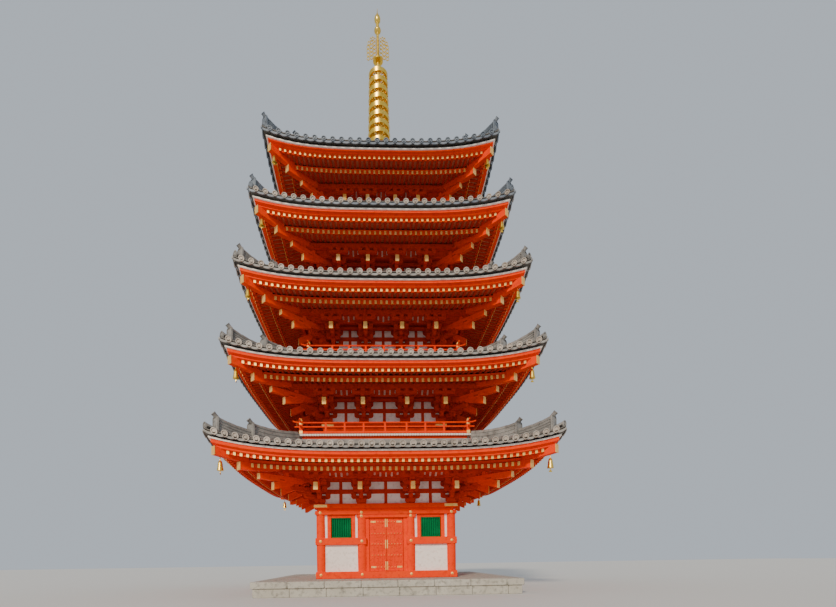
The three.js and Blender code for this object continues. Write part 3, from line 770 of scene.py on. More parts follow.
def both_ways(count: int, step: float) -> list[float]:
    """Return the places of members set half a step off the middle, so many each way."""
    return [side * (number + 0.5) * step for number in range(count) for side in (-1, 1)]


def on_diagonal(distance: np.ndarray, across: np.ndarray, height: np.ndarray) -> np.ndarray:
    """Return points so far out along the front right diagonal, and so far across it."""
    side = across / DIAGONAL
    return np.stack([distance + side, side - distance, height], axis=1)


def hip_member(
    start: float, end: float, width: float, bottom: Callable, top: Callable, bar: Shape
) -> Shape:
    """Return a member along the front right diagonal.

    Args:
        start: Distance of its inner end from the middle, along each side.
        end: Distance of its outer end.
        width: Its width.
        bottom: Height of its underside by distance.
        top: Height of its top by distance.
        bar: Bar to bend into it.

    Returns:
        The member.
    """

    def place(points: np.ndarray) -> np.ndarray:
        """Bend the points of the straight part into place.

        Args:
            points: Points of the straight part, one a row.

        Returns:
            The points in place.
        """
        distance = start + (end - start) * (points[:, 0] + 1) / 2
        height = np.where(points[:, 2] > 0.5, top(distance), bottom(distance))
        return on_diagonal(distance, (points[:, 1] - 0.5) * width, height)

    return bar.mapped(place)


# Sizes of the storeys


# Tail rafters and cove, in pitches out from the columns and up from the wall plate's top.
TAIL_REACH, TAIL_END, TAIL_SLOPE = 7.1, 2.35, 0.4
UPPER_TAIL_REACH, UPPER_TAIL_END = 9.0, 3.72
COVE_IN, COVE_OUT = 4.2, 5.6
# How closely the cells of a course crowd toward the corners, where the eave curves most.
CORNER_CROWDING = 1.6


@dataclass(frozen=True)
class Storey:
    """One storey in its rafter pitch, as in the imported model.

    Span and centre_bay count pitches. The cap, base, fly and fascia heights are the
    middles of the tail rafter ends, the lower and upper rafter ends and the white edge.
    Wall_rise is how far, in pitches, the wall's tie beams lie above those of the lowest
    storey, and ribs counts the cove ribs of each bay.
    """

    number: int
    pitch: float
    span: int
    centre_bay: int
    cap_z: float
    base_z: float
    fly_z: float
    fascia_z: float
    rise: float
    tile_pitch: float
    wall_rise: float
    ribs: tuple[int, int, int]

    base_tip: float = 11.0
    fly_tip: float = 13.7
    tile: float = 15.6
    base_slope: float = 0.3
    fly_slope: float = 0.2

    @property
    def half(self) -> float:
        """Distance of the outer columns from the middle."""
        return self.span * self.pitch / 2

    @property
    def inner(self) -> float:
        """Distance of the inner columns from the middle."""
        return self.centre_bay * self.pitch / 2

    @property
    def columns(self) -> tuple[float, float, float, float]:
        """Places of the columns along a side."""
        return (-self.half, -self.inner, self.inner, self.half)

    @property
    def bay_middles(self) -> list[float]:
        """Middles of the three bays of a side."""
        return [(left + right) / 2 for left, right in zip(self.columns, self.columns[1:])]

    @property
    def collar(self) -> float:
        """Where the eave leaves the wall."""
        return self.half + 0.1

    @property
    def plate_top(self) -> float:
        """Top of the wall plate, which carries the brackets."""
        return self.cap_z - TAIL_END * self.pitch

    @property
    def plate_low(self) -> float:
        """Underside of the wall plate."""
        return self.plate_top - 0.8 * self.pitch

    @property
    def plate_edge(self) -> float:
        """Distance of the wall plate's outer face from the middle."""
        return self.at(1.1)

    @property
    def fly_top(self) -> float:
        """Top of the upper rafters at their tips."""
        return self.fly_z + 0.32 * self.pitch

    def at(self, pitches: float) -> float:
        """Return the distance from the middle of so many pitches out from the columns."""
        return self.half + pitches * self.pitch

    def piece(self, name: str, finish: Finish) -> Cluster:
        """Start one of the storey's pieces."""
        return Cluster(f"storey_{self.number}_{name}", finish)

    def base_under(self, distance: Lengths) -> Lengths:
        """Return the height of the lower rafters' undersides."""
        return self.base_z - 0.3 * self.pitch + self.base_slope * (self.at(self.base_tip) - distance)

    def fly_under(self, distance: Lengths) -> Lengths:
        """Return the height of the upper rafters' undersides."""
        return self.fly_z - 0.28 * self.pitch + self.fly_slope * (self.at(self.fly_tip) - distance)

    def lift(self, distance: np.ndarray, across: np.ndarray) -> np.ndarray:
        """Return how far the eave curve climbs, so far from the middle and toward the corner."""
        out = np.maximum(0, (distance - self.collar) / (self.at(self.tile) - self.collar))
        return self.rise * out**3 * np.minimum(1, across) ** 3.5

    def raised(self, points: np.ndarray) -> np.ndarray:
        """Return points of the front side raised by the eave curve.

        Args:
            points: The points, one a row.

        Returns:
            The raised points.
        """
        distance = -points[:, 1]
        raised = points.copy()
        raised[:, 2] += self.lift(distance, np.abs(points[:, 0]) / np.maximum(distance, 0.001))
        return raised

    def course(
        self, inner: float, outer: float, bottom: Callable, thickness: float, curved: bool = True
    ) -> Shape:
        """Return the front side of a mitred member that runs round the storey.

        Args:
            inner: Distance of its inner face from the middle.
            outer: Distance of its outer face from the middle.
            bottom: Height of its underside by distance.
            thickness: Its height.
            curved: Whether it follows the eave curve.

        Returns:
            The front side's part.
        """

        def place(points: np.ndarray) -> np.ndarray:
            """Bend the points of the straight part into place.

            Args:
                points: Points of the straight part, one a row.

            Returns:
                The points in place.
            """
            share = np.sign(points[:, 0]) * (1 - (1 - np.abs(points[:, 0])) ** CORNER_CROWDING)
            distance = outer + (inner - outer) * points[:, 1]
            height = bottom(distance) + thickness * points[:, 2]
            laid = np.stack([share * distance, -distance, height], axis=1)
            return self.raised(laid) if curved else laid

        return LONG_BAR.mapped(place)

    def level_course(self, inner: float, outer: float, bottom: float, top: float) -> Shape:
        """Return the front side of a level mitred member."""
        return self.course(inner, outer, lambda d: bottom + 0 * d, top - bottom, False)


# Number, pitch, span, centre bay, heights of the cap, base, fly and fascia, rise, tile pitch,
# wall rise and ribs.
STOREYS = (
    Storey(1, 0.2135, 24, 9, 3.970, 4.410, 4.575, 4.860, 0.520, 0.335, 0.0, (4, 5, 4)),
    Storey(2, 0.2048, 22, 8, 7.160, 7.610, 7.750, 8.010, 0.485, 0.333, 0.33, (4, 5, 4)),
    Storey(3, 0.1985, 20, 7, 10.110, 10.540, 10.680, 10.910, 0.485, 0.331, 0.55, (3, 3, 3)),
    Storey(4, 0.1890, 18, 6, 12.870, 13.310, 13.430, 13.640, 0.440, 0.325, 0.55, (3, 3, 3)),
    Storey(5, 0.1796, 16, 6, 15.440, 15.850, 15.980, 16.120, 0.460, 0.318, 0.55, (3, 3, 3)),
)
BALCONY_FLOORS = (6.066, 9.140, 11.970, 14.590)
SPIRE_SEAT = 18.3
SPIRE_HALF = 0.47
FIRST_WASHED_ROOF = 4


@dataclass(frozen=True)
class RoofCurve:
    """Height of a roof's tile bed, which steepens from the eave to its rim."""

    storey: Storey
    rim: float
    rim_z: float
    eave_slope: float

    @property
    def edge(self) -> float:
        """Distance of the tile edge from the middle."""
        return self.storey.at(self.storey.tile)

    def height(self, distance: Lengths) -> Lengths:
        """Return the height of the bed at mid side.

        Args:
            distance: Distance from the middle.

        Returns:
            The height, or one for each distance.
        """
        edge_z = self.storey.fascia_z + 0.2
        run = self.edge - self.rim
        bend = (self.rim_z - edge_z - self.eave_slope * run) / run**2
        inward = self.edge - distance
        return edge_z + self.eave_slope * inward + bend * inward**2

    def hip(self, distance: Lengths) -> Lengths:
        """Return the height of the bed along a hip."""
        return self.height(distance) + self.storey.lift(distance, np.ones_like(distance))


# Platform and ground floor


@dataclass
class Platform:
    """Granite platform: a course of blocks, a kerb that stands out over it, and paving."""

    half: float = 4.78
    inset: float = 0.06
    course_top: float = 0.31
    top: float = 0.55
    kerb_width: float = 0.62
    blocks: int = 7
    joint: float = 0.008
    slabs: int = 13

    def row(self, half: float, depth: float, bottom: float, top: float, bevel: float) -> Shape:
        """Return one side's row of blocks, which covers one corner of the two.

        Args:
            half: Distance of the row's face from the middle.
            depth: Depth of the blocks.
            bottom: Height of its underside.
            top: Height of its top.
            bevel: Width of the eased edges.

        Returns:
            The blocks of the row.
        """
        length = (2 * half - depth) / self.blocks
        block = timber((length - self.joint, depth - self.joint, top - bottom), bevel=bevel)
        first = shifted(length / 2 - half, depth / 2 - half, (bottom + top) / 2)
        return gathered(block.moved(first @ shifted(number * length)) for number in range(self.blocks))

    def build(self) -> None:
        """Make the course, the kerb and the paving."""
        course = Cluster("platform_course_blocks", STONE)
        course.add_on_sides(self.row(self.half - self.inset, 0.5, 0.0, self.course_top - 0.002, 0.012))
        core = self.half - 0.5
        course.add(timber((2 * core, 2 * core, 0.2), (0, 0, 0.11)))
        course.make(replaces=["platform_base"])

        kerb = Cluster("platform_kerb_stones", STONE)
        kerb.add_on_sides(self.row(self.half, self.kerb_width, self.course_top, self.top, 0.018))
        kerb.make(replaces=["platform_slab"])

        paving = Cluster("platform_paving", STONE)
        field_half = self.half - self.kerb_width
        size = 2 * field_half / self.slabs
        slab = timber((size - self.joint, size - self.joint, 0.12), (0, 0, self.top - 0.064), 0.006)
        for column in range(self.slabs):
            for row in range(self.slabs):
                x, y = ((place + 0.5) * size - field_half for place in (column, row))
                paving.add(slab, shifted(x, y))
        paving.make()


@dataclass
class GroundFloor:
    """Sill beams on the platform with floor boards between them."""

    edge: float = 2.762
    bottom: float = 0.55
    top: float = 0.82
    sill: float = 0.3
    boards: int = 18

    def build(self) -> None:
        """Make the sill beams and the boards."""
        sill = Cluster("ground_sill_beams", VERMILION)
        sill.add_on_sides(lapped_beam(self.edge, self.sill, self.bottom, self.top, 0.014))
        sill.make(replaces=["ground_floor"])

        floor = Cluster("ground_floor_boards", FLOOR_BOARDS)
        half = self.edge - self.sill
        width = 2 * half / self.boards
        board = timber((width - 0.004, 2 * half, 0.04), (0, 0, self.top - 0.021), 0.003)
        for number in range(self.boards):
            floor.add(board, shifted((number + 0.5) * width - half))
        floor.make()


# Ground storey


@dataclass
class GroundStorey:
    """Columns, beams, plaster panels and barred windows of the ground storey."""

    storey: Storey
    floor: float = 0.82
    column_radius: float = 0.178
    waist: tuple[float, float] = (1.87, 2.14)
    head: tuple[float, float] = (2.92, 3.20)
    head_joint: float = 3.045
    projection: float = 0.2
    window_width: float = 0.79
    window: tuple[float, float] = (2.15, 2.93)
    bars: int = 9
    frame_width: float = 0.15
    door_half: float = 0.67
    sill_nails: float = 0.70

    def build(self) -> None:
        """Make every piece of the storey's walls."""
        self.build_columns()
        self.build_beams()
        self.build_panels()
        self.build_windows()
        self.build_head_frame()
        self.build_nail_covers()

    def column_places(self) -> list[tuple[float, float]]:
        """Return the places of the twelve columns."""
        half, columns = self.storey.half, self.storey.columns
        return [(x, y) for x in columns for y in columns if half in (abs(x), abs(y))]

    def build_columns(self) -> None:
        """Make the round columns, which swell a little below the middle."""
        radius = self.column_radius
        low, high = self.floor, self.head_joint
        profile = [(radius * 0.97, low), (radius, low + 0.5), (radius, low + 1.2), (radius * 0.96, high)]
        column = turned(profile, 28)
        columns = Cluster("ground_columns", VERMILION)
        columns.add(column, *[shifted(x, y) for x, y in self.column_places()])
        columns.make(replaces=[f"corner_wall_{corner}" for corner in CORNERS])

    def build_beams(self) -> None:
        """Make the waist beams, the door posts and the window frames."""
        line = self.storey.half
        beams = Cluster("ground_beams_and_frames", VERMILION)
        low, high = self.waist
        depth = self.projection
        outer, inner = line + depth, self.storey.inner - self.column_radius
        for side, reach in ((-1, outer), (1, outer - depth)):
            across = (side * inner, side * reach)
            beams.add_on_sides(between(across, (-line - depth, -line), (low, high), 0.012))
        frame_size = (self.frame_width, 0.15, self.head_joint - high)
        for side in (-1, 1):
            post = (side * self.door_half, side * (self.storey.inner - 0.1))
            beams.add_on_sides(between(post, (-line - 0.06, -line + 0.06), (self.floor, self.head[0])))
            window = side * self.window_middle()
            for edge in (-1, 1):
                x = window + edge * (self.window_width + self.frame_width) / 2
                beams.add_on_sides(timber(frame_size, (x, -line, (high + self.head_joint) / 2)))
            head = timber((self.window_width, 0.14, 0.12), (window, -line, self.window[1] + 0.06))
            beams.add_on_sides(head)
        beams.make()

    def window_middle(self) -> float:
        """Return how far the windows lie from the middle of the side."""
        return (self.storey.half + self.storey.inner) / 2

    def build_panels(self) -> None:
        """Make the plaster panels below the waist beams and beside the windows."""
        line = self.storey.half
        plaster = Cluster("ground_plaster_panels", PLASTER)
        left, right = self.storey.inner, line
        frame_edge = self.window_width / 2 + self.frame_width
        middle = self.window_middle()
        low, high = self.waist
        for start, end, bottom, top in (
            (left, right, self.floor, low),
            (left, right, low, high),
            (left, middle - frame_edge, high, self.head_joint),
            (middle + frame_edge, right, high, self.head_joint),
        ):
            for side in (-1, 1):
                across = (side * start, side * end)
                plaster.add_on_sides(between(across, (-line - 0.05, -line + 0.05), (bottom, top), 0.002))
        plaster.make()

    def build_windows(self) -> None:
        """Make the green bars, set edge on, in a thin sill and head before a green shutter."""
        windows = Cluster("ground_window_bars", GREEN)
        bottom, top = self.window
        line = self.storey.half
        step = self.window_width / self.bars
        bar = timber((0.042, 0.042, top - bottom - 0.04), bevel=0.003).moved(EIGHTH_TURN)
        rail = timber((self.window_width - 0.002, 0.07, 0.03), bevel=0.004)
        shutter = timber((self.window_width - 0.002, 0.02, top - bottom), bevel=0.003)
        for side in (-1, 1):
            middle = side * self.window_middle()
            parts = [rail.moved(shifted(middle, -line, z)) for z in (bottom + 0.015, top - 0.015)]
            parts.append(shutter.moved(shifted(middle, 0.045 - line, (bottom + top) / 2)))
            first = middle - self.window_width / 2 + step / 2
            for number in range(self.bars):
                parts.append(bar.moved(shifted(first + number * step, -line, (bottom + top) / 2)))
            windows.add_on_sides(gathered(parts))
        windows.make(replaces=[f"window_{side}_{number}" for side in SIDES for number in (1, 2)])

    def build_head_frame(self) -> None:
        """Make the head beams, the recessed rail over them and the wall plate."""
        storey = self.storey
        beams = Cluster("ground_head_beams", VERMILION)
        low, high = self.head
        reach = storey.half + self.projection
        depth = self.projection + 0.1
        joint = self.head_joint
        lintel_half = storey.inner + self.column_radius + 0.02
        across = (-lintel_half, lintel_half)
        beams.add_on_sides(
            lapped_beam(reach, depth, joint, high, 0.014),
            between(across, (0.03 - reach, depth - reach), (low, joint), 0.012),
        )
        half, plate_low, plate = storey.half, storey.plate_low, storey.plate_edge
        beams.add_on_sides(
            storey.level_course(half - 0.1, half + 0.1, high, plate_low),
            lapped_beam(plate, plate - half + 0.12, plate_low, storey.plate_top),
        )
        beams.make(replaces=["ground_head_frame"])

    def build_nail_covers(self) -> None:
        """Make the gilt nail covers on the beams and the plates on the wall plate's ends."""
        storey = self.storey
        gilt = Cluster("ground_gilt_fittings", GILT_CAP)
        cover = nail_cover(0.055)
        face = storey.half + self.projection
        for z in (sum(self.waist) / 2, (self.head_joint + self.head[1]) / 2, self.sill_nails):
            gilt.repeat_on_sides(cover, [shifted(x, -face, z) for x in storey.columns])
        lintel_z = (self.head[0] + self.head_joint) / 2
        gilt.repeat_on_sides(cover, [shifted(x, 0.03 - face, lintel_z) for x in storey.columns[1:3]])
        plate = storey.plate_edge
        plate_middle = (storey.plate_low + storey.plate_top) / 2
        strap = timber((0.5, 0.012, 0.11), bevel=0.003)
        ends = (0.26 - plate, plate - 0.26)
        gilt.repeat_on_sides(strap, [shifted(x, -plate - 0.004, plate_middle) for x in ends])
        gilt.make()


# Doors


@dataclass
class DoorLeaves:
    """A pair of boarded leaves with battens, nails and gilt fittings.

    The leaves swing inward, so only their outer faces carry battens.
    """

    line: float = -2.562
    half: float = 0.634
    bottom: float = 0.826
    top: float = 2.914
    thickness: float = 0.058
    meeting: float = 0.004
    boards: int = 4
    batten_heights: tuple[float, ...] = (0.98, 1.45, 1.89, 2.30, 2.76)

    def leaf(self, side: int) -> Shape:
        """Return one leaf's boards, battens and rounded heel, at the front.

        Args:
            side: -1 for the left leaf, 1 for the right one.

        Returns:
            The leaf.
        """
        middle_z = (self.bottom + self.top) / 2
        height = self.top - self.bottom
        width = (self.half - self.meeting) / self.boards
        board = timber((width - 0.002, self.thickness, height), (0, self.line, middle_z), 0.003)
        places = [self.meeting + (number + 0.5) * width for number in range(self.boards)]
        parts = [board.moved(shifted(side * place)) for place in places]
        batten = timber((self.half - 0.06, 0.014, 0.11), bevel=0.004)
        face = self.line - self.thickness / 2 - 0.006
        middle = side * (self.meeting + self.half) / 2
        parts += [batten.moved(shifted(middle, face, z)) for z in self.batten_heights]
        heel = turned([(self.thickness / 2, self.bottom), (self.thickness / 2, self.top)], 16)
        parts.append(heel.moved(shifted(side * self.half, self.line)))
        pin = turned([(0.012, 0.8204), (0.012, 2.9196)], 12)
        parts.append(pin.moved(shifted(side * self.half, self.line)))
        return gathered(parts)

    def fittings(self, side: int) -> Shape:
        """Return one leaf's straps, nails and centre strips, at the front.

        Args:
            side: -1 for the left leaf, 1 for the right one.

        Returns:
            The fittings.
        """
        face = self.line - self.thickness / 2 - 0.013
        nail = nail_cover(0.02)
        parts = []
        for z in self.batten_heights:
            for number in range(5):
                x = side * (0.09 + number * (self.half - 0.16) / 4)
                parts.append(nail.moved(shifted(x, face, z)))
        strap = timber((0.2, 0.01, 0.075), bevel=0.003)
        for z in (self.batten_heights[0], self.batten_heights[-1]):
            parts.append(strap.moved(shifted(side * (self.half - 0.125), face, z)))
        plate = timber((0.036, 0.01, 0.34), bevel=0.003)
        for z in (1.88, 2.72, 1.03):
            parts.append(plate.moved(shifted(side * 0.034, face, z)))
        return gathered(parts)

    def build(self) -> None:
        """Make the two front leaves and the closed leaves of the other sides."""
        for side, name in ((-1, "left"), (1, "right")):
            leaf = Cluster(f"front_door_{name}_boards", DOOR_PAINT)
            leaf.add(self.leaf(side))
            leaf.make(f"door_{name}", [f"front_door_{name}"])
            gilt = Cluster(f"front_door_{name}_fittings", GILT_CAP)
            gilt.add(self.fittings(side))
            gilt.make(f"door_{name}")
        closed = Cluster("closed_door_boards", DOOR_PAINT)
        gilt = Cluster("closed_door_fittings", GILT_CAP)
        jamb = timber((0.03, 0.05, self.top - self.bottom), bevel=0.003)
        for side in (-1, 1):
            place = shifted(side * (self.half + 0.02), self.line, (self.top + self.bottom) / 2)
            closed.add(gathered([self.leaf(side), jamb.moved(place)]), *QUARTER_TURNS[1:])
            gilt.add(self.fittings(side), *QUARTER_TURNS[1:])
        closed.make(replaces=[f"closed_doors_{side}" for side in SIDES[1:]])
        gilt.make()


# Brackets


@dataclass
class BracketParts:
    """Bracket arms and blocks in pitches, modelled once for all storeys."""

    wall_arm: Shape = field(default_factory=lambda: arm(3.7, 0.64, 0.62))
    cross_arm: Shape = field(default_factory=lambda: arm(2.9, 0.6, 0.6))
    purlin_arm: Shape = field(default_factory=lambda: arm(4.0, 0.62, 0.55))
    block: Shape = field(default_factory=lambda: bearing_block(0.88, 0.42))

    def reaching_arm(self, reach: float, bottom: float, stretch: float = 1.0) -> Shape:
        """Return an arm that reaches out over the wall, rounded below its end.

        Args:
            reach: How far it reaches, in pitches.
            bottom: Height of its underside.
            stretch: How much longer it is than one square to the wall.

        Returns:
            The arm, in pitches.
        """
        length = reach * stretch + 0.3
        beam = arm(length, 0.7, 0.72)
        return beam.moved(shifted(0, 0.3 - length / 2, bottom) @ QUARTER_TURNS[1])

    def tail(self, stretch: float = 1.0) -> Shape:
        """Return a tail rafter that slopes down and out to its end.

        Args:
            stretch: How much longer it is than one square to the wall.

        Returns:
            The tail rafter, in pitches.
        """
        reach = TAIL_REACH * stretch
        BENCH.block((0.72, reach + 0.5, 1.26), (0, 0.25 - reach / 2, TAIL_END))
        BENCH.pick("EDGE", lambda middle, way: abs(way.y) > 0.9 and middle.z < TAIL_END)
        BENCH.work(bpy.ops.mesh.bevel, offset=0.06, segments=1, affect="EDGES")
        beam = BENCH.take()
        beam.points[:, 2] += TAIL_SLOPE / stretch * (reach + beam.points[:, 1])
        return beam

    def stack(self, rise: float) -> Shape:
        """Return the bracket stack of one column, seen from a front column's middle.

        Args:
            rise: How far its arms on the wall lie above those of the lowest storey.

        Returns:
            The stack, in pitches.
        """
        parts = [self.reaching_arm(2.45, 0.9), self.reaching_arm(4.45, 2.0)]
        for low in (0.93 + rise, 3.05 + rise):
            parts.append(self.wall_arm.moved(shifted(0, 0, low)))
            for x in (-1.42, 1.42):
                parts.append(self.block.moved(shifted(x, 0, low + 0.58)))
        for out, low in ((2.0, 2.0), (2.0, 3.0), (4.0, 3.06)):
            parts.append(self.block.moved(shifted(0, -out, low - 0.4)))
            parts.append(self.cross_arm.moved(shifted(0, -out, low)))
            for x in (-1.05, 1.05):
                parts.append(self.block.moved(shifted(x, -out, low + 0.58)))
        parts.append(self.block.moved(shifted(0, -6.0, 3.45)))
        parts.append(self.purlin_arm.moved(shifted(0, -6.0, 3.86)))
        for x in (-1.55, 0.0, 1.55):
            parts.append(self.block.moved(shifted(x, -6.0, 4.4)))
        return gathered(parts)

    def column_blocks(self, rise: float) -> Shape:
        """Return the great block on a column and the small one over its first arms."""
        return gathered([bearing_block(1.9, 0.95 + rise), self.block.moved(shifted(0, 0, 2.64 + rise))])

    def corner_stack(self) -> Shape:
        """Return the arms and blocks on the diagonal of a corner, along -Y before the turn.

        Returns:
            The stack, in pitches.
        """
        parts = [self.reaching_arm(2.5, 0.93, DIAGONAL), self.reaching_arm(4.5, 2.01, DIAGONAL)]
        for out, up in ((2.0, 1.6), (4.0, 2.66), (6.0, 3.2)):
            parts.append(self.block.moved(shifted(0, -out * DIAGONAL, up)))
        return gathered(parts)

    def corner_tails(self) -> Shape:
        """Return the two tails of a corner and the short post on them that props the hip rafter.

        Returns:
            The tails and the post, in pitches.
        """
        reach = UPPER_TAIL_REACH * DIAGONAL
        upper = timber((0.86, reach - 4, 1.0), (0, -(reach + 4) / 2, UPPER_TAIL_END), 0.05)
        post = timber((0.6, 0.6, 1.5), (0, -5.2 * DIAGONAL, 4.9), 0.04)
        return gathered([self.tail(DIAGONAL), upper, post])

    def rib(self) -> Shape:
        """Return one curved rib of the cove, its upper end against the purlin at the origin.

        Returns:
            The rib, in pitches.
        """
        BENCH.block((0.34, 1.35, 0.16), (0, 0.675, -0.08))
        BENCH.cut(Y_AXIS, (0.45, 0.9))
        rib = BENCH.take()
        rib.points[:, 2] -= 0.62 * (1 - np.cos(rib.points[:, 1] / 1.35 * math.pi / 2))
        return rib


@dataclass
class Brackets:
    """Bracket ring of one storey: wall beams, panels, stacks, tails and purlin."""

    storey: Storey
    parts: BracketParts

    def spot(self, x: float) -> Matrix:
        """Return the place of something modelled in pitches, at x on the front plate."""
        storey = self.storey
        return shifted(x, -storey.half, storey.plate_top) @ Matrix.Scale(storey.pitch, 4)

    def spots(self) -> list[Matrix]:
        """Return where the front side's stacks stand."""
        return [self.spot(x) for x in self.storey.columns]

    def corner_spot(self) -> Matrix:
        """Return where the corner arms stand, turned to the front right diagonal."""
        return self.spot(self.storey.half) @ EIGHTH_TURN

    def build(self) -> None:
        """Make the storey's bracket pieces."""
        self.build_stacks()
        self.build_tails()
        self.build_wall_beams()
        self.build_panels()
        self.build_caps()
        self.build_ribs()

    def build_stacks(self) -> None:
        """Make the bracket stacks of all sides and corners."""
        storey = self.storey
        # The stacks take the vermilion darkened as painted shade for the shadow under the eaves.
        stacks = storey.piece("bracket_stacks", SHADED_VERMILION)
        stacks.repeat_on_sides(self.parts.stack(storey.wall_rise), self.spots())
        stacks.repeat_on_sides(self.parts.column_blocks(storey.wall_rise), self.spots()[:-1])
        stacks.add_on_sides(self.parts.corner_stack().moved(self.corner_spot()))
        stacks.make(replaces=[f"storey_{storey.number}_brackets"])

    def build_tails(self) -> None:
        """Make the tail rafters of all sides and corners."""
        tails = self.storey.piece("tail_rafters", VERMILION)
        tails.repeat_on_sides(self.parts.tail(), self.spots())
        tails.add_on_sides(self.parts.corner_tails().moved(self.corner_spot()))
        tails.make()

    def level(self, inner: float, outer: float, bottom: float, top: float) -> Shape:
        """Return one side of a level member, placed in pitches from the wall line and the plate.

        Args:
            inner: Place of its inner face, in pitches.
            outer: Place of its outer face, in pitches.
            bottom: Place of its underside, in pitches.
            top: Place of its top, in pitches.

        Returns:
            The member.
        """
        storey = self.storey
        low, high = (storey.plate_top + up * storey.pitch for up in (bottom, top))
        return storey.level_course(storey.at(inner), storey.at(outer), low, high)

    def build_wall_beams(self) -> None:
        """Make the tie beams, the stepped beams, the ceiling, the purlin and the struts."""
        storey = self.storey
        # The beams take the vermilion darkened as painted shade for the shadow under the eaves.
        beams = storey.piece("bracket_beams", SHADED_VERMILION)
        rise = storey.wall_rise
        for inner, outer, bottom, top in (
            (-0.29, 0.29, 1.88 + rise, 2.67 + rise),
            (-0.29, 0.29, 4.06 + rise, 4.8 + rise),
            (1.7, 2.3, 3.95, 4.35),
            (3.7, 4.3, 4.12, 4.6),
            (5.5, 6.5, 4.8, 5.65),
            (0.3, 3.8, 4.6 + 0.2 * rise, 4.72 + 0.2 * rise),
            (-0.5, 0.9, 5.3, 5.9),
        ):
            beams.add_on_sides(self.level(inner, outer, bottom, top))
        inner, outer = storey.at(COVE_IN), storey.at(COVE_OUT)
        low = storey.plate_top + 4.5 * storey.pitch
        thickness = 0.1 * storey.pitch
        beams.add_on_sides(
            storey.course(inner, outer, lambda d: low + 0.4 * (d - inner), thickness, False)
        )
        strut = timber((0.55, 0.5, 1.9 + rise), (0, 0, 0.95 + rise / 2), 0.03)
        upper_strut = timber((0.55, 0.5, 1.45), (0, 0, 3.36 + rise), 0.03)
        struts = gathered([strut, upper_strut])
        beams.repeat_on_sides(struts, [self.spot(middle) for middle in storey.bay_middles])
        beams.make()

    def build_panels(self) -> None:
        """Make the plaster between the tie beams."""
        plaster = self.storey.piece("bracket_plaster", PLASTER)
        rise = self.storey.wall_rise
        for bottom, top in ((0.0, 1.9 + rise), (2.65 + rise, 4.1 + rise)):
            plaster.add_on_sides(self.level(-0.16, 0.16, bottom, top))
        plaster.make()

    def build_caps(self) -> None:
        """Make the gilt caps on the ends of the tail rafters."""
        caps = self.storey.piece("tail_caps", GILT_CAP)
        size, upper_size = (0.78, 0.12, 1.34), (0.86, 0.12, 1.0)
        reach, upper_reach = TAIL_REACH + 0.03, UPPER_TAIL_REACH + 0.03
        caps.repeat_on_sides(timber(size, (0, -reach, TAIL_END), 0.04), self.spots())
        corner_caps = [
            timber(size, (0, -reach * DIAGONAL, TAIL_END), 0.04),
            timber(upper_size, (0, -upper_reach * DIAGONAL, UPPER_TAIL_END), 0.04),
        ]
        caps.add_on_sides(gathered(corner_caps).moved(self.corner_spot()))
        caps.make()

    def build_ribs(self) -> None:
        """Make the pale curved ribs between the stacks."""
        storey = self.storey
        # The ribs take the white distemper darkened as painted shade.
        ribs = storey.piece("cove_ribs", SHADED_RIB_WHITEWASH)
        rib = self.parts.rib()
        for middle, count in zip(storey.bay_middles, storey.ribs):
            for number in range(count):
                offset = number - (count - 1) / 2
                reach = 1 - 0.3 * (2 * abs(offset) / (count - 1)) ** 2
                x = middle + offset * storey.pitch
                top = shifted(x, -storey.at(COVE_OUT), storey.plate_top + 5.02 * storey.pitch)
                size = Matrix.Diagonal((storey.pitch, storey.pitch * reach, storey.pitch * reach, 1))
                ribs.add_on_sides(rib.moved(top @ size))
        ribs.make()


# Eaves


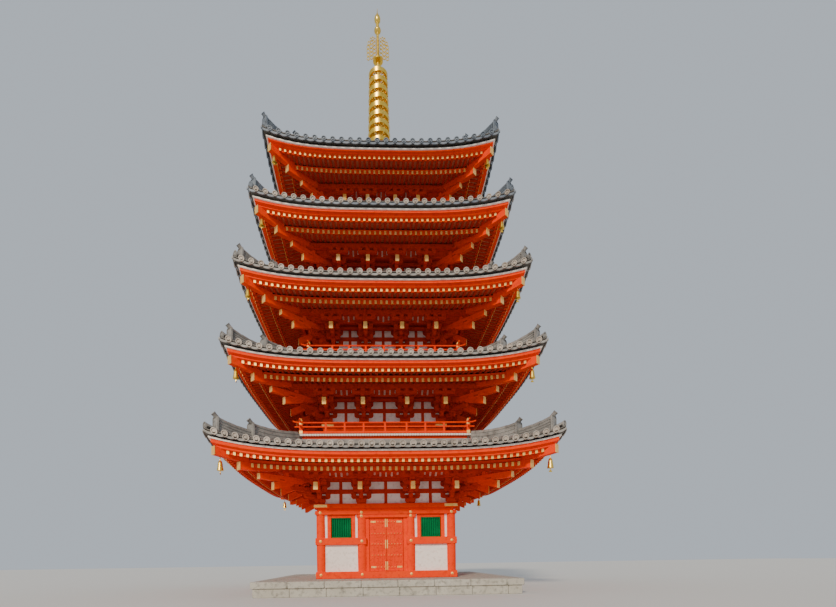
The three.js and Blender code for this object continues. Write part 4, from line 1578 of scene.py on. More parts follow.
@dataclass
class Eave:
    """Two tiers of rafters with their boards, edge boards, hip rafters and bells."""

    storey: Storey
    rafter_width: float = 0.4
    base_height: float = 0.62
    fly_height: float = 0.52
    lower_hip: float = 11.5
    upper_hip: float = 14.45

    @property
    def hip_drop(self) -> float:
        """How far the hip rafters hang below the others, more on each higher storey."""
        return (0.5 + 0.12 * self.storey.number) * self.storey.pitch

    def rafters(
        self, tier_start: float, tip: float, extra: int, height: float, under: Callable
    ) -> list[Shape]:
        """Return one side's rafters of a tier.

        Args:
            tier_start: Where they start, in pitches out.
            tip: Where they end, in pitches out.
            extra: Rafters beyond the column line on each half of the side.
            height: Height of a rafter in pitches.
            under: Height of their undersides by distance.

        Returns:
            A shape for each rafter.
        """
        storey = self.storey
        pitch = storey.pitch
        made = []
        for x in both_ways(storey.span // 2 + extra, pitch):
            start = max(storey.at(tier_start), abs(x) + 0.4 * pitch)
            made.append(self.rafter(x, start, storey.at(tip), height * pitch, under))
        return made

    def rafter(self, x: float, start: float, end: float, height: float, under: Callable) -> Shape:
        """Return one rafter that follows the eave curve.

        Args:
            x: Its place along the side.
            start: Distance of its inner end from the middle.
            end: Distance of its outer end from the middle.
            height: Its height.
            under: Height of its underside by distance.

        Returns:
            The rafter.
        """
        storey = self.storey
        width = self.rafter_width * storey.pitch

        def place(points: np.ndarray) -> np.ndarray:
            """Bend the points of the straight part into place.

            Args:
                points: Points of the straight part, one a row.

            Returns:
                The points in place.
            """
            distance = start + (end - start) * (points[:, 0] + 1) / 2
            across = x + (0.5 - points[:, 1]) * width
            laid = np.stack([across, -distance, under(distance) + height * points[:, 2]], axis=1)
            return storey.raised(laid)

        return SHORT_BAR.mapped(place, mirrored=True)

    def caps(self, tip: float, extra: int, height: float, under: Callable) -> list[Shape]:
        """Return one side's gilt caps of a tier.

        Args:
            tip: Where the rafters end, in pitches out.
            extra: Rafters beyond the column line on each half of the side.
            height: Height of a rafter in pitches.
            under: Height of the rafters' undersides by distance.

        Returns:
            A shape for each cap.
        """
        storey = self.storey
        pitch = storey.pitch
        width = (self.rafter_width + 0.03) * pitch
        cap = timber((width, 0.016, height * pitch + 0.01), (0, 0, height * pitch / 2), 0.004)
        distance = storey.at(tip) + 0.006
        return [
            cap.moved(shifted(x, -distance, under(distance))).mapped(storey.raised)
            for x in both_ways(storey.span // 2 + extra, pitch)
        ]

    def build(self) -> None:
        """Make the storey's eave pieces."""
        storey = self.storey
        # The rafters take the vermilion darkened as painted shade for the shadow under the eaves.
        rafters = storey.piece("rafters", SHADED_VERMILION)
        tiers = (
            (0.6, storey.base_tip, 10, self.base_height, storey.base_under),
            (storey.base_tip - 0.6, storey.fly_tip, 13, self.fly_height, storey.fly_under),
        )
        for start, tip, extra, height, under in tiers:
            rafters.add_on_sides(*self.rafters(start, tip, extra, height, under))
        rafters.make(replaces=[f"storey_{storey.number}_eave"])

        caps = storey.piece("rafter_caps", GILT_CAP)
        for _, tip, extra, height, under in tiers:
            caps.add_on_sides(*self.caps(tip, extra, height, under))
        caps.add_on_sides(*self.hip_caps())
        caps.make()
        self.build_boards()
        self.build_edges()
        self.build_hips()
        self.build_bells()

    def build_boards(self) -> None:
        """Make the whitewashed boards that close the gaps between the rafters of both tiers."""
        storey = self.storey
        pitch = storey.pitch
        # The boards take the distemper darkened and tinted pink as painted shade and painted bounce light.
        boards = storey.piece("soffit_boards", SHADED_SOFFIT_WHITEWASH)
        for start, end, height, under in (
            (0.4, storey.base_tip - 0.45, self.base_height, storey.base_under),
            (storey.base_tip - 0.7, storey.fly_tip - 0.3, self.fly_height, storey.fly_under),
        ):
            cuts = np.linspace(storey.at(start), storey.at(end), 6)
            for inner, outer in zip(cuts, cuts[1:]):
                board = storey.course(inner, outer, under, (height - 0.16) * pitch)
                boards.add_on_sides(board.moved(shifted(z=0.22 * pitch)))
        boards.make()

    def build_edges(self) -> None:
        """Make the edge boards that step out under the tiles, and the white one."""
        storey = self.storey
        pitch = storey.pitch
        fly_top = storey.fly_top - 0.08 * pitch
        white_low = storey.fascia_z - 0.14 * pitch
        middle = fly_top + 0.45 * (white_low - fly_top)
        lower_edge = storey.piece("edge_boards", VERMILION)
        base_beam_low = storey.base_z + (self.base_height - 0.3) * pitch
        base_beam_top = storey.fly_under(storey.at(storey.base_tip))
        for inner, outer, low, top in (
            (13.3, 14.15, fly_top, middle),
            (13.6, 14.75, middle, white_low),
            (10.2, 10.55, base_beam_low, base_beam_top),
        ):
            lower_edge.add_on_sides(self.edge_course(inner, outer, low, top))
        base_end = storey.base_tip - 0.4
        for inner, outer, under, height in (
            (storey.at(13.1), storey.at(13.45), storey.fly_under, self.fly_height),
            (storey.at(base_end), storey.at(base_end + 0.15), storey.base_under, self.base_height),
        ):
            lower_edge.add_on_sides(storey.course(inner, outer, under, height * pitch))
        lower_edge.make()
        white = storey.piece("white_edge", WHITE_EDGE)
        white.add_on_sides(self.edge_course(13.7, 15.05, white_low, white_low + 0.24 * pitch))
        white.make()

    def edge_course(self, inner: float, outer: float, low: float, top: float) -> Shape:
        """Return one side's edge board, its reach given in pitches, which follows the eave curve."""
        storey = self.storey
        return storey.course(storey.at(inner), storey.at(outer), lambda d: low + 0 * d, top - low)

    def hip(self, start: float, end: float, width: float, under: Callable, height: float) -> Shape:
        """Return a member under the front right hip, its ends and sizes given in pitches.

        Args:
            start: Where its inner end lies, in pitches out.
            end: Where its outer end lies, in pitches out.
            width: Its width in pitches.
            under: Height of the undersides of the rafters beside it by distance.
            height: Its height in pitches.

        Returns:
            The member.
        """
        storey = self.storey

        def bottom(distance: np.ndarray) -> np.ndarray:
            """Return the height of its underside."""
            lift = storey.lift(distance, np.ones_like(distance))
            return under(distance) + lift - self.hip_drop

        def top(distance: np.ndarray) -> np.ndarray:
            """Return the height of its top."""
            return bottom(distance) + height * storey.pitch

        bar = LONG_BAR if end - start > 1 else SHORT_BAR
        return hip_member(storey.at(start), storey.at(end), width * storey.pitch, bottom, top, bar)

    def build_hips(self) -> None:
        """Make the two hip rafters of each corner."""
        storey = self.storey
        hips = storey.piece("hip_rafters", VERMILION)
        hips.add_on_sides(
            self.hip(1.0, self.lower_hip, 0.95, storey.base_under, 1.3),
            self.hip(10.4, self.upper_hip, 0.9, storey.fly_under, 1.25),
        )
        hips.make()

    def hip_caps(self) -> list[Shape]:
        """Return the gilt caps of one corner's hip rafters.

        Returns:
            A shape for each cap.
        """
        storey = self.storey
        made = []
        for end, under in ((self.lower_hip, storey.base_under), (self.upper_hip, storey.fly_under)):
            start, stop = end - 0.002 / storey.pitch, end + 0.014 / storey.pitch
            made.append(self.hip(start, stop, 1.0, under, 1.3).moved(shifted(z=-0.01)))
        return made

    def build_bells(self) -> None:
        """Make the wind bell under the end of each hip rafter."""
        storey = self.storey
        pitch = storey.pitch
        reach = storey.at(storey.fly_tip)
        top = storey.fly_under(reach) + float(storey.lift(reach, 1.0))
        bells = storey.piece("wind_bells", GILT)
        profile = [
            (0.46, -2.12),
            (0.52, -2.08),
            (0.42, -1.6),
            (0.35, -1.0),
            (0.26, -0.66),
            (0.1, -0.54),
            (0.07, -0.4),
            (0.06, 0.2),
        ]
        clapper = [(0.02, -2.5), (0.09, -2.45), (0.09, -2.3), (0.02, -2.25), (0.02, -1.2)]
        vane = timber((0.5, 0.03, 0.24), (0, 0, -2.6), 0.01)
        bell = gathered([turned(profile, 12), turned(clapper, 6), vane])
        place = shifted(reach, -reach, top - 0.7 * pitch) @ Matrix.Scale(pitch, 4)
        bells.add_on_sides(bell.moved(place))
        bells.make()


# Roofs


@dataclass
class RoofParts:
    """Roof tiles in metres, modelled once."""

    cover_radius: float = 0.085
    cover_length: float = 0.34
    pan_length: float = 0.27
    pan_width: float = 0.3
    cover: Shape = field(init=False)
    pan: Shape = field(init=False)
    disc: Shape = field(init=False)

    def __post_init__(self) -> None:
        """Model the three tiles."""
        self.cover = cover_tile(self.cover_radius, self.cover_length)
        self.pan = pan_tile(self.pan_width, self.pan_length)
        self.disc = tile_disc(0.11, 0.05)


@dataclass
class Roof:
    """Tiled roof of one storey, with its hip ridges, end tiles and horns."""

    storey: Storey
    curve: RoofCurve
    tiles_start: float
    ridge_end: float
    parts: RoofParts
    tile: Finish
    upturn: float = 0.14
    upturn_length: float = 1.2

    @property
    def rows(self) -> int:
        """Number of cover rows on each half of a side."""
        return int((self.curve.edge - 0.09) / self.storey.tile_pitch)

    def laid(self, shape: Shape, x: float, outer: float, inner_limit: float) -> Shape:
        """Return a tile laid on the front slope.

        Args:
            shape: Tile along -Y from 0.
            x: Its place along the side.
            outer: Distance of its outer end from the middle.
            inner_limit: Nothing of it goes further in than this.

        Returns:
            The tile, on the curve of the roof.
        """
        length = -shape.points[:, 1].min()

        def place(points: np.ndarray) -> np.ndarray:
            """Bend the points of the straight part into place.

            Args:
                points: Points of the straight part, one a row.

            Returns:
                The points in place.
            """
            distance = np.maximum(outer - length - points[:, 1], inner_limit)
            across = np.clip(x + points[:, 0], -distance - 0.02, distance + 0.02)
            laid = np.stack([across, -distance, self.curve.height(distance) + points[:, 2]], axis=1)
            return self.storey.raised(laid)

        return shape.mapped(place)

    def tile_row(
        self, shape: Shape, x: float, outer: float, inner_limit: float, step: float
    ) -> list[Shape]:
        """Return a row of tiles on the front slope, from its outer end up to its limit.

        Args:
            shape: Tile along -Y from 0.
            x: Place along the side.
            outer: Distance of the row's outer end from the middle.
            inner_limit: Nothing of it goes further in than this.
            step: Distance from one tile to the next.

        Returns:
            A shape for each tile.
        """
        made = []
        while outer > inner_limit + 0.02:
            made.append(self.laid(shape, x, outer, inner_limit))
            outer -= step
        return made

    def build(self) -> None:
        """Make the bed, the tiles and the ridges."""
        self.build_tiles()
        self.build_edge()
        self.build_ridges()

    def build_tiles(self) -> None:
        """Make the rows of pan and cover tiles on a closed bed."""
        storey, curve, parts = self.storey, self.curve, self.parts
        step = storey.tile_pitch
        # The pans and the bed under them take the tile darkened as painted shade.
        pans = storey.piece("pan_tiles", SHADED_PAN_TILE)
        covers = storey.piece("cover_tiles", self.tile)
        pan = parts.pan.moved(Matrix.Diagonal((step / parts.pan_width, 1, 1, 1)))
        for number in range(-self.rows, self.rows + 1):
            x = number * step
            limit = max(self.tiles_start, abs(x) - step / 2)
            pans.add_on_sides(*self.tile_row(pan, x, curve.edge, limit, parts.pan_length))
        for x in both_ways(self.rows, step):
            limit = max(self.tiles_start, abs(x))
            row = self.tile_row(parts.cover, x, curve.edge + 0.012, limit, parts.cover_length)
            covers.add_on_sides(*row)
        cuts = np.linspace(curve.rim, curve.edge - 0.03, 7)
        for inner, outer in zip(cuts, cuts[1:]):
            pans.add_on_sides(storey.course(inner, outer, lambda d: curve.height(d) - 0.14, 0.08))
        pans.make(replaces=[f"storey_{storey.number}_roof"])
        if self.tiles_start > curve.rim:
            covers.add_on_sides(*self.flashing())
        covers.make()

    def flashing(self) -> list[Shape]:
        """Return one side's two courses of flat tiles against the foot of the balcony beam.

        Returns:
            A shape for each course.
        """
        start, top = self.tiles_start, self.curve.rim_z + 0.06
        low = self.curve.height(start + 0.2) - 0.04
        middle = (low + top) / 2
        return [
            self.storey.level_course(start - 0.02, start + 0.14, low, middle),
            self.storey.level_course(start - 0.02, start + 0.08, middle - 0.005, top),
        ]

    def build_edge(self) -> None:
        """Make the round and flat tile ends along the eave."""
        storey, curve = self.storey, self.curve
        step = storey.tile_pitch
        top_roof = storey.number == len(STOREYS)
        # The end discs take the tile lightened as painted light, except on the top roof.
        ends = storey.piece("tile_ends", WASHED_TILE if top_roof else LIT_TILE_END)
        edge_z = curve.height(curve.edge) - 0.055
        small = 1 - 0.055 * (storey.number - 1)
        disc = self.parts.disc.moved(Matrix.Diagonal((small, 1, small, 1)))
        for x in both_ways(self.rows, step):
            end = disc.moved(shifted(x, -curve.edge - 0.03, edge_z + 0.02))
            ends.add_on_sides(end.mapped(storey.raised))
        ends.make()
        lips = storey.piece("tile_lips", self.tile)
        flat = self.flat_end(step)
        for number in range(-self.rows, self.rows + 1):
            tile = flat.moved(shifted(number * step, -curve.edge - 0.01, edge_z - 0.03))
            lips.add_on_sides(tile.mapped(storey.raised))
        lips.make()

    def flat_end(self, width: float) -> Shape:
        """Return the hanging lip of a pan tile, which sags between two covers.

        Args:
            width: Its width.

        Returns:
            The lip.
        """
        BENCH.block((width, 0.03, 0.07), (0, 0, 0))
        BENCH.cut(X_AXIS, [place * width for place in (-0.35, -0.18, 0.0, 0.18, 0.35)])
        lip = BENCH.take()
        lip.points[:, 2] -= 0.045 * (1 - (2 * lip.points[:, 0] / width) ** 2)
        return lip

    def upturned(self, distance: Lengths, outer: float) -> Lengths:
        """Return the height of a ridge stage's foot, which curls up toward its outer end."""
        near_end = np.clip(1 - (outer - distance) / self.upturn_length, 0, 1)
        return self.curve.hip(distance) + self.upturn * near_end**2

    def ridge_course(self, inner: float, outer: float, width: float, low: float, high: float) -> Shape:
        """Return one course of a hip ridge along the front right hip.

        Args:
            inner: Distance of its inner end from the middle, along each side.
            outer: Distance of its outer end.
            width: Its width.
            low: Height of its underside over the ridge's foot, or under it.
            high: Height of its top over the ridge's foot.

        Returns:
            The course.
        """

        def bottom(distance: np.ndarray) -> np.ndarray:
            """Return the height of its underside."""
            return low + (self.curve.hip(distance) if low < 0 else self.upturned(distance, outer))

        def top(distance: np.ndarray) -> np.ndarray:
            """Return the height of its top."""
            return high + self.upturned(distance, outer)

        return hip_member(inner, outer, width, bottom, top, LONG_BAR)

    def build_ridges(self) -> None:
        """Make the two-stage hip ridges of layered tiles with their ends."""
        storey = self.storey
        pitch = storey.pitch
        ridges = storey.piece("hip_ridges", self.tile)
        outer = storey.at(storey.tile - 1.95 + 0.25 * storey.number)
        step = storey.at(storey.tile - 5.9)
        layers = 3
        outer_height = 1.5 + max(0.0, 0.5 - 0.15 * storey.number)
        stages = ((step - 0.1, outer, outer_height, 1.1), (self.ridge_end, step, 2.4, 1.35))
        for inner_end, outer_end, height, width in stages:
            body = (height - 0.5) * pitch
            for layer in range(layers):
                low = -0.3 * pitch if layer == 0 else body * layer / layers
                high = body * (layer + 1) / layers - 0.008
                narrow = (width - 0.16 * layer) * pitch
                course = self.ridge_course(inner_end, outer_end - 0.01 * layer, narrow, low, high)
                lip_low, lip_high = high - 0.018, high + 0.006
                lip = self.ridge_course(inner_end, outer_end + 0.005, narrow + 0.03, lip_low, lip_high)
                ridges.add_on_sides(course, lip)
            ridges.add_on_sides(self.ridge_cover(inner_end, outer_end, body))
            ridges.add_on_sides(*self.ridge_end_tile(outer_end, height, width))
        ridges.add_on_sides(self.corner_nose(outer))
        ridges.make()

    def corner_nose(self, inner: float) -> Shape:
        """Return the upturned cover tile that closes the corner beyond the ridge, with its disc.

        Args:
            inner: Distance of the ridge's outer end from the middle.

        Returns:
            The tile with its disc.
        """
        outer = self.curve.edge - 0.06
        length = (outer - inner) * DIAGONAL
        nose = self.parts.cover.moved(Matrix.Diagonal((1.25, length / self.parts.cover_length, 1.25, 1)))
        disc = self.parts.disc.moved(shifted(0, -length - 0.01, 0.02))
        tile = gathered([nose, disc])
        tile.points[:, 2] += 0.05 * (tile.points[:, 1] / length) ** 2
        foot = self.curve.hip((inner + outer) / 2)
        rise = self.curve.hip(outer) - self.curve.hip(inner)
        tile.points[:, 2] += rise * (-tile.points[:, 1] / length - 0.5)
        return tile.moved(shifted(inner, -inner, foot + 0.02) @ EIGHTH_TURN)

    def ridge_cover(self, inner: float, outer: float, base: float) -> Shape:
        """Return the row of half-round tiles on top of a ridge stage.

        Args:
            inner: Distance of the stage's inner end from the middle.
            outer: Distance of the stage's outer end from the middle.
            base: Height of the tiles over the ridge's foot.

        Returns:
            The row.
        """
        count = max(2, round((outer - inner) * DIAGONAL / 0.34))
        parts = []
        span = (outer - inner) / count
        for number in range(count):
            end = outer - number * span

            def place(points: np.ndarray, end: float = end) -> np.ndarray:
                """Bend the points of the straight part into place.

                Args:
                    points: Points of the straight part, one a row.
                    end: Distance of the tile's outer end from the middle.

                Returns:
                    The points in place.
                """
                share = 1 + points[:, 1] / self.parts.cover_length
                distance = end - share * span
                height = self.upturned(distance, outer) + base + points[:, 2] * 1.05
                return on_diagonal(distance, points[:, 0] * 1.05, height)

            parts.append(self.parts.cover.mapped(place))
        return gathered(parts)

    def ridge_end_tile(self, outer: float, height: float, width: float) -> list[Shape]:
        """Return the end tile of a ridge stage with its boss, and the horn over it.

        Args:
            outer: Distance of the stage's outer end from the middle.
            height: Height of the stage in pitches.
            width: Width of the stage in pitches.

        Returns:
            The end tile and the horn.
        """
        pitch = self.storey.pitch
        hip = self.upturned(outer, outer)
        BENCH.block((width * 1.5, 0.26, height + 1.0), (0, 0, (height - 1.1) / 2))
        BENCH.pick("EDGE", lambda middle, way: middle.z > height * 0.5 and abs(way.y) > 0.9)
        BENCH.work(bpy.ops.mesh.bevel, offset=width * 0.38, segments=3, affect="EDGES")
        BENCH.pick_facing(0, -1, 0)
        BENCH.work(bpy.ops.mesh.inset, thickness=0.12)
        BENCH.extrude((0, 0.07, 0))
        BENCH.work(bpy.ops.mesh.inset, thickness=0.16)
        BENCH.extrude((0, -0.1, 0), (0.8, 1.0, 0.8))
        tile = BENCH.take()
        place = shifted(outer + 0.05, -outer - 0.05, hip) @ EIGHTH_TURN
        horn = turned([(0.34, -0.5), (0.34, 0.9), (0.36, 1.15), (0.42, 1.25), (0.34, 1.25), (0.3, 1.2)], 12)
        tilt = Matrix.Rotation(math.radians(48), 4, "X")
        lean = place @ Matrix.Scale(pitch, 4) @ shifted(0, 0.5, height - 0.45) @ tilt
        return [tile.moved(place @ Matrix.Scale(pitch, 4)), horn.moved(lean)]


# Balconies and upper walls


@dataclass
class Balcony:
    """Balcony of an upper storey: boards, white edge, beam and a three-rail railing."""

    storey: Storey
    floor: float
    reach: float = 4.55

    @property
    def line(self) -> float:
        """Distance of the railing from the middle."""
        return self.storey.at(self.reach)

    @property
    def edge(self) -> float:
        """Distance of the white edge from the middle."""
        return self.storey.at(self.reach + 0.5)

    @property
    def beam(self) -> float:
        """Distance of the beam's face from the middle."""
        return self.storey.at(self.reach - 0.2)

    @property
    def bottom(self) -> float:
        """Underside of the beam."""
        return self.floor - 1.25 * self.storey.pitch

    def build(self) -> None:
        """Make the storey's balcony pieces."""
        storey, pitch, line, floor = self.storey, self.storey.pitch, self.line, self.floor
        edge, beam = self.edge, self.beam
        boards = storey.piece("balcony_edge", WHITE_EDGE)
        ends = round(2 * edge / 0.1)
        step = 2 * edge / ends
        size = (step - 0.012, 0.12, 0.42 * pitch - 0.02)
        board_end = timber(size, (0, 0.06 - edge, floor - 0.21 * pitch - 0.01), 0.003)
        for index in range(1, ends):
            boards.add_on_sides(board_end.moved(shifted((index + 0.5) * step - edge)))
        boards.make()

        timbers = storey.piece("balcony_frame", VERMILION)
        joist_low = floor - 0.4 * pitch
        for inner, outer, low, top in (
            (beam - 0.9 * pitch, beam, self.bottom, floor - 0.42 * pitch),
            (beam - 0.9 * pitch, edge - 0.03, joist_low, floor - 0.03),
            (storey.half - 0.3, edge - 0.85 * pitch, joist_low, floor - 0.1 * pitch),
        ):
            timbers.add_on_sides(storey.level_course(inner, outer, low, top))
        timbers.add_on_sides(*self.railing())
        timbers.make(replaces=[f"storey_{storey.number}_balcony"])

        planks = storey.piece("balcony_boards", FLOOR_BOARDS)
        width = 0.16
        count = int(2 * line / width)
        depth = edge - 0.02 - (storey.half - 0.2)
        plank = timber((width - 0.004, depth, 0.03), (0, -(edge - 0.02) + depth / 2, floor - 0.015), 0.003)
        for index in range(count):
            x = (index + 0.5) * width - line
            planks.add_on_sides(plank.mapped(lambda p, x=x: clipped(p, x)))
        planks.make()
        self.build_caps()

    def railing(self) -> list[Shape]:
        """Return one side's rails, posts and struts.

        Returns:
            A shape for each member.
        """
        pitch, line, floor = self.storey.pitch, self.line, self.floor
        parts = []
        for low, high, over in ((0.1, 0.5, 0.2), (1.2, 1.45, 1.2)):
            reach = line + over * pitch
            height = (floor + low * pitch, floor + high * pitch)
            parts.append(between((-reach, reach), (-line - 0.03, -line + 0.03), height, 0.008))
        parts.append(self.top_rail(line, floor, pitch))
        for x in self.post_places():
            parts.append(timber((0.075, 0.07, 1.95 * pitch), (x, -line, floor + 0.97 * pitch), 0.008))
        post_size = (0.6 * pitch, 0.6 * pitch, 2.35 * pitch)
        parts.append(timber(post_size, (-line, -line, floor + 1.17 * pitch), 0.012))
        return parts

    def post_places(self) -> list[float]:
        """Return the places of the small posts along a side."""
        return [*self.storey.columns, *self.storey.bay_middles]

    def top_rail(self, line: float, floor: float, pitch: float) -> Shape:
        """Return the round top rail, its ends curving up past the corner posts.

        Args:
            line: Distance of the railing from the middle.
            floor: Height of the balcony's floor.
            pitch: The storey's rafter pitch.

        Returns:
            The rail.
        """
        BENCH.cylinder(8, 0.15 * pitch, 2, "X")
        BENCH.cut(X_AXIS, (-0.985, -0.96, -0.92, 0.92, 0.96, 0.985))
        rail = BENCH.take()
        reach = line + 1.5 * pitch
        past = np.maximum(0, np.abs(rail.points[:, 0]) - 0.92) / 0.08
        rail.points[:, 2] += floor + 2.1 * pitch + 0.3 * pitch * past**2
        rail.points[:, 1] -= line
        rail.points[:, 0] *= reach
        return rail

    def build_caps(self) -> None:
        """Make the gilt caps of the corner posts and the rail ends."""
        pitch, line, floor = self.storey.pitch, self.line, self.floor
        caps = self.storey.piece("balcony_caps", GILT_CAP)
        knob = turned([(0.3, 0), (0.34, 0.05), (0.34, 0.2), (0.2, 0.3), (0.24, 0.42), (0.02, 0.6)], 10)
        post_top = shifted(-line, -line, floor + 2.33 * pitch)
        caps.add_on_sides(knob.moved(post_top @ Matrix.Scale(pitch, 4)))
        band = (-line - 0.33 * pitch, -line + 0.33 * pitch)
        for low, high in ((0.0, 0.6), (1.7, 2.0)):
            height = (floor + low * pitch, floor + high * pitch)
            caps.add_on_sides(between(band, band, height, 0.008))
        caps.make()


def clipped(points: np.ndarray, x: float) -> np.ndarray:
    """Return a plank's points moved to x and cut off along the mitre of the front side.

    Args:
        points: The points, one a row.
        x: How far the plank moves.

    Returns:
        The plank's points in place.
    """
    moved = points.copy()
    moved[:, 0] += x
    moved[:, 1] = np.minimum(moved[:, 1], -np.abs(moved[:, 0]))
    return moved


@dataclass
class UpperWalls:
    """Columns, boards and beams of an upper storey behind its railing."""

    storey: Storey
    floor: float

    def build(self) -> None:
        """Make the storey's wall pieces."""
        storey, pitch, floor = self.storey, self.storey.pitch, self.floor
        half, plate_low, plate = storey.half, storey.plate_low, storey.plate_edge
        # The walls take the vermilion darkened as painted shade for the shadow under the eaves.
        walls = storey.piece("wall_boards", SHADED_VERMILION)
        column = turned([(0.68 * pitch, floor), (0.68 * pitch, plate_low + 0.01)], 16)
        walls.repeat_on_sides(column, [shifted(x, -half) for x in storey.columns])
        walls.add_on_sides(storey.level_course(half - 0.08, half + 0.04, floor, plate_low))
        walls.make(replaces=[f"storey_{storey.number}_walls"])

        beams = storey.piece("wall_plate", VERMILION)
        head = (floor + 2 * plate_low) / 3
        beams.add_on_sides(
            storey.level_course(half - 0.1, plate, plate_low, storey.plate_top),
            storey.level_course(half - 0.05, half + 0.85 * pitch, head, plate_low - 0.02),
        )
        beams.make()

        gilt = storey.piece("wall_fittings", GILT_CAP)
        strap = timber((2.2 * pitch, 0.012, 0.45 * pitch), bevel=0.003)
        plate_middle = (plate_low + storey.plate_top) / 2
        ends = (1.15 * pitch - plate, plate - 1.15 * pitch)
        gilt.repeat_on_sides(strap, [shifted(x, -plate - 0.004, plate_middle) for x in ends])
        gilt.make()


# Spire


@dataclass
class Spire:
    """Gilt spire: basin, bowl, lotus, nine rings on a shaft, flame and jewels."""

    seat: float = SPIRE_SEAT
    box_top: float = 18.78
    bowl_top: float = 19.17
    lotus_top: float = 19.45
    ring_first: float = 19.8
    ring_pitch: float = 0.389
    rings: int = 9
    ring_radii: tuple[float, float] = (0.507, 0.43)
    shaft_top: float = 23.56
    flame_top: float = 24.76
    tip: float = 26.0
    petals: int = 12
    spokes: int = 8

    def build(self) -> None:
        """Make the spire's pieces from the bottom up."""
        self.build_basin()
        self.build_bowl()
        self.build_rings()
        self.build_flame()
        self.build_jewels()

    def build_basin(self) -> None:
        """Make the square dew basin with its stepped lips and side panels."""
        basin = Cluster("spire_basin_box", GILT)
        height = self.box_top - self.seat
        basin.add(timber((0.94, 0.94, 0.07), (0, 0, self.seat + 0.035), 0.01))
        basin.add(timber((0.84, 0.84, height), (0, 0, self.seat + height / 2), 0.008))
        basin.add(timber((0.96, 0.96, 0.08), (0, 0, self.box_top - 0.04), 0.012))
        BENCH.block((0.7, 0.02, 0.26), (0, -0.425, self.seat + 0.22))
        BENCH.pick_facing(0, -1, 0)
        BENCH.work(bpy.ops.mesh.inset, thickness=0.03)
        BENCH.extrude((0, 0.008, 0))
        basin.add_on_sides(BENCH.take())
        basin.make(replaces=["spire_dew_basin"])

    def build_bowl(self) -> None:
        """Make the inverted bowl and the lotus with its petals."""
        bowl = Cluster("spire_bowl_with_petals", GILT)
        low, top = self.box_top, self.bowl_top
        bowl_profile = [(0.43, 0.0), (0.43, 0.04), (0.42, 0.13), (0.39, 0.2), (0.33, 0.28)]
        neck_profile = [(0.23, -0.03), (0.15, 0.0), (0.15, 0.05), (0.24, 0.09), (0.3, 0.16)]
        profile = [(radius, low + up) for radius, up in bowl_profile]
        profile += [(radius, top + up) for radius, up in neck_profile]
        profile += [(0.34, self.lotus_top - 0.04), (0.3, self.lotus_top)]
        bowl.add(turned(profile, 28))
        petal = self.petal()
        for number in range(self.petals):
            turn = Matrix.Rotation(number * 2 * math.pi / self.petals, 4, "Z")
            bowl.add(petal, turn @ shifted(0, 0, top + 0.03))
        bowl.make(replaces=["spire_bowl_and_lotus"])

    def petal(self) -> Shape:
        """Return one upturned petal, facing -Y.

        Returns:
            The petal.
        """
        BENCH.start(
            bpy.ops.mesh.primitive_uv_sphere_add,
            segments=8,
            ring_count=6,
            radius=0.12,
            scale=(1.0, 0.35, 1.35),
        )
        BENCH.pick("FACE", lambda middle, normal: middle.z > 0)
        BENCH.work(bpy.ops.transform.translate, value=(0, -0.1, 0.02))
        return BENCH.take().moved(shifted(0, -0.32, 0.12))

    def build_rings(self) -> None:
        """Make the shaft and the nine rings with spokes, hub and small bells."""
        rings = Cluster("spire_rings_on_shaft", GILT)
        rings.add(turned([(0.075, self.lotus_top), (0.075, self.shaft_top)], 16))
        low, high = self.ring_radii
        hoop = self.hoop()
        spoke = timber((0.05, 1.0, 0.05), (0, -0.5, 0), 0.008)
        hub = turned([(0.09, -0.08), (0.14, -0.06), (0.14, 0.06), (0.09, 0.08)], 16)
        bell = turned([(0.035, -0.16), (0.03, -0.1), (0.02, -0.07), (0.005, -0.02)], 8)
        for number in range(self.rings):
            radius = low + (high - low) * number / (self.rings - 1)
            place = shifted(0, 0, self.ring_first + number * self.ring_pitch)
            rings.add(hoop, place @ Matrix.Diagonal((radius, radius, 1, 1)))
            rings.add(hub, place)
            for index in range(self.spokes):
                turn = Matrix.Rotation((index + 0.5) * 2 * math.pi / self.spokes, 4, "Z")
                rings.add(spoke, place @ turn @ Matrix.Diagonal((1, radius - 0.03, 1, 1)))
                rings.add(bell, place @ turn @ shifted(0, -radius + 0.02, -0.06))
        rings.make(replaces=["spire_shaft_and_rings"])

    def hoop(self) -> Shape:
        """Return a flat ring of radius 1 that narrows a little toward its foot.

        Returns:
            The ring.
        """
        BENCH.ring(32, 0.16, 0.22, "Z")
        BENCH.pick_facing(0, 0, -1)
        BENCH.work(bpy.ops.transform.resize, value=(0.95, 0.95, 1.0), center_override=(0, 0, 0))
        return BENCH.take()

    def build_flame(self) -> None:
        """Make the four openwork blades of the flame over their collar."""
        flame = Cluster("spire_openwork_flame", GILT)
        low, top = self.shaft_top, self.flame_top
        collar = [(0.08, 0.0), (0.11, 0.0), (0.225, 0.07), (0.225, 0.11), (0.07, 0.14), (0.06, top - low)]
        flame.add(turned([(radius, low + up) for radius, up in collar], 16))
        base = low + 0.12
        height = top - 0.06 - base
        flame.add_on_sides(*self.curls(base, height))
        flame.make(replaces=["spire_water_flame"])

    def curls(self, base: float, height: float) -> list[Shape]:
        """Return one blade's rows of wire rings, along -Y.

        Args:
            base: Height of the blade's foot.
            height: Height of the blade.

        Returns:
            A shape for each ring.
        """
        made = []
        BENCH.ring(10, 0.03, 0.24, "X")
        ring = BENCH.take()
        rows, columns, shaft = 6, 3, 0.08
        for row in range(rows):
            share = (row + 0.5) / rows
            width = 0.5 * (1 - max(0.0, share - 0.55) ** 2 * 2.2) - shaft
            for column in range(columns):
                out = shaft + (column + 0.5) * width / columns
                up = base + share * height + (0.25 if column % 2 else 0.0) * height / rows
                stretch = Matrix.Diagonal((1, width / columns * 0.52, height / rows * 0.52, 1))
                made.append(ring.moved(shifted(0, -out, up) @ stretch))
        return made

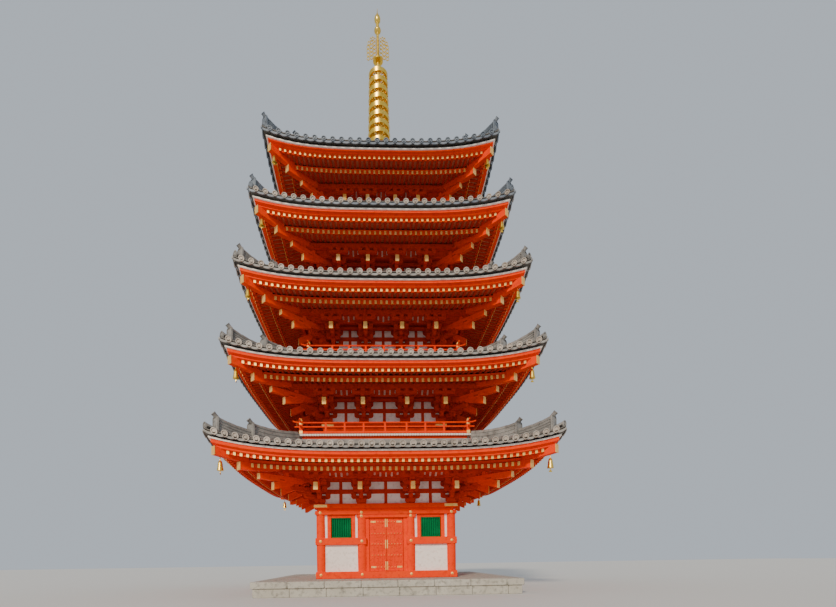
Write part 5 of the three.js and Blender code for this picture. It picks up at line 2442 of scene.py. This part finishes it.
    def build_jewels(self) -> None:
        """Make the two jewels and the tip."""
        jewels = Cluster("spire_jewels_and_tip", GILT)
        rise = self.flame_top
        steps = [(0.06, 0.0), (0.06, 0.15), (0.1, 0.17), (0.14, 0.21), (0.152, 0.26)]
        steps += [(0.14, 0.31), (0.1, 0.35), (0.07, 0.38), (0.068, 0.6), (0.09, 0.62), (0.12, 0.67)]
        steps += [(0.136, 0.74), (0.132, 0.81), (0.1, 0.9), (0.06, 0.97), (0.035, 1.03), (0.016, 1.08)]
        steps += [(0.01, self.tip - rise)]
        jewels.add(turned([(radius, rise + up) for radius, up in steps], 20))
        jewels.make(replaces=["spire_jewels"])


# Picture


@dataclass
class Studio:
    """Camera at the picture's place, pale floor and soft light."""

    image_width: int = 836
    image_height: int = 607
    focal_pixels: float = 470.0
    principal: tuple[float, float] = (392.4, 560.0)
    place: tuple[float, float, float] = (-0.4415, -21.1, 1.25)
    yaw: float = 0.0359
    roll: float = -0.0148

    def build(self) -> None:
        """Set up the camera, the floor and the lights."""
        self.build_camera()
        self.build_floor()
        self.build_light()

    def build_camera(self) -> None:
        """Place the camera, its shift only as large as the framing needs."""
        data = bpy.data.cameras.new("picture_camera")
        data.sensor_width = 36.0
        data.lens = self.focal_pixels * data.sensor_width / self.image_width
        data.shift_x = (self.image_width / 2 - self.principal[0]) / self.image_width
        data.shift_y = (self.principal[1] - self.image_height / 2) / self.image_width
        data.clip_end = 500
        camera = bpy.data.objects.new("picture_camera", data)
        camera.location = self.place
        camera.rotation_euler = (math.pi / 2, -self.roll, -self.yaw)
        bpy.context.scene.collection.objects.link(camera)
        bpy.context.scene.camera = camera

    def build_floor(self) -> None:
        """Lay the plain pale floor."""
        bpy.ops.object.select_all(action="DESELECT")
        bpy.ops.mesh.primitive_plane_add(size=240, location=(0, 0, -0.002))
        floor = bpy.context.object
        floor.name = "studio_floor"
        paint = bpy.data.materials.new("studio_floor_paint")
        paint.use_nodes = True
        shader = paint.node_tree.nodes["Principled BSDF"]
        shader.inputs["Base Color"].default_value = linear("#D9D6D0")
        shader.inputs["Roughness"].default_value = 0.9
        floor.data.materials.append(paint)

    def build_light(self) -> None:
        """Light the scene with a pale sky and one wide, soft lamp from the front."""
        world = bpy.data.worlds.new("studio_sky")
        world.use_nodes = True
        background = world.node_tree.nodes["Background"]
        background.inputs["Color"].default_value = linear("#D4DDE8")
        background.inputs["Strength"].default_value = 0.75
        bpy.context.scene.world = world
        sun = bpy.data.lights.new("studio_key", "SUN")
        sun.energy = 2.7
        sun.angle = math.radians(8)
        sun.color = linear("#FFF1DC")[:3]
        lamp = bpy.data.objects.new("studio_key", sun)
        lamp.rotation_euler = (math.radians(64.5), 0, math.radians(-20))
        bpy.context.scene.collection.objects.link(lamp)


def roof_of(storey: Storey, parts: RoofParts) -> Roof:
    """Return a storey's roof, which ends under the balcony or the spire that stands on it.

    Args:
        storey: The storey.
        parts: Tiles of all roofs.

    Returns:
        The roof.
    """
    tile = WASHED_TILE if storey.number >= FIRST_WASHED_ROOF else TILE
    if storey.number == len(STOREYS):
        curve = RoofCurve(storey, SPIRE_HALF, SPIRE_SEAT, 0.3)
        return Roof(storey, curve, SPIRE_HALF + 0.02, SPIRE_HALF + 0.09, parts, tile)
    balcony = Balcony(STOREYS[storey.number], BALCONY_FLOORS[storey.number - 1])
    curve = RoofCurve(storey, storey.collar, balcony.bottom, 0.18)
    return Roof(storey, curve, balcony.beam + 0.02, balcony.edge + 0.03, parts, tile)


def main() -> None:
    """Build every sub-assembly in order and report each piece."""
    logging.basicConfig(level=logging.INFO, format="%(name)s: %(message)s")
    Studio().build()
    Platform().build()
    GroundFloor().build()
    GroundStorey(STOREYS[0]).build()
    DoorLeaves().build()
    bracket_parts = BracketParts()
    roof_parts = RoofParts()
    for storey in STOREYS:
        if storey.number > 1:
            floor = BALCONY_FLOORS[storey.number - 2]
            Balcony(storey, floor).build()
            UpperWalls(storey, floor).build()
        Brackets(storey, bracket_parts).build()
        Eave(storey).build()
        roof_of(storey, roof_parts).build()
    Spire().build()


if __name__ == "__main__":
    main()
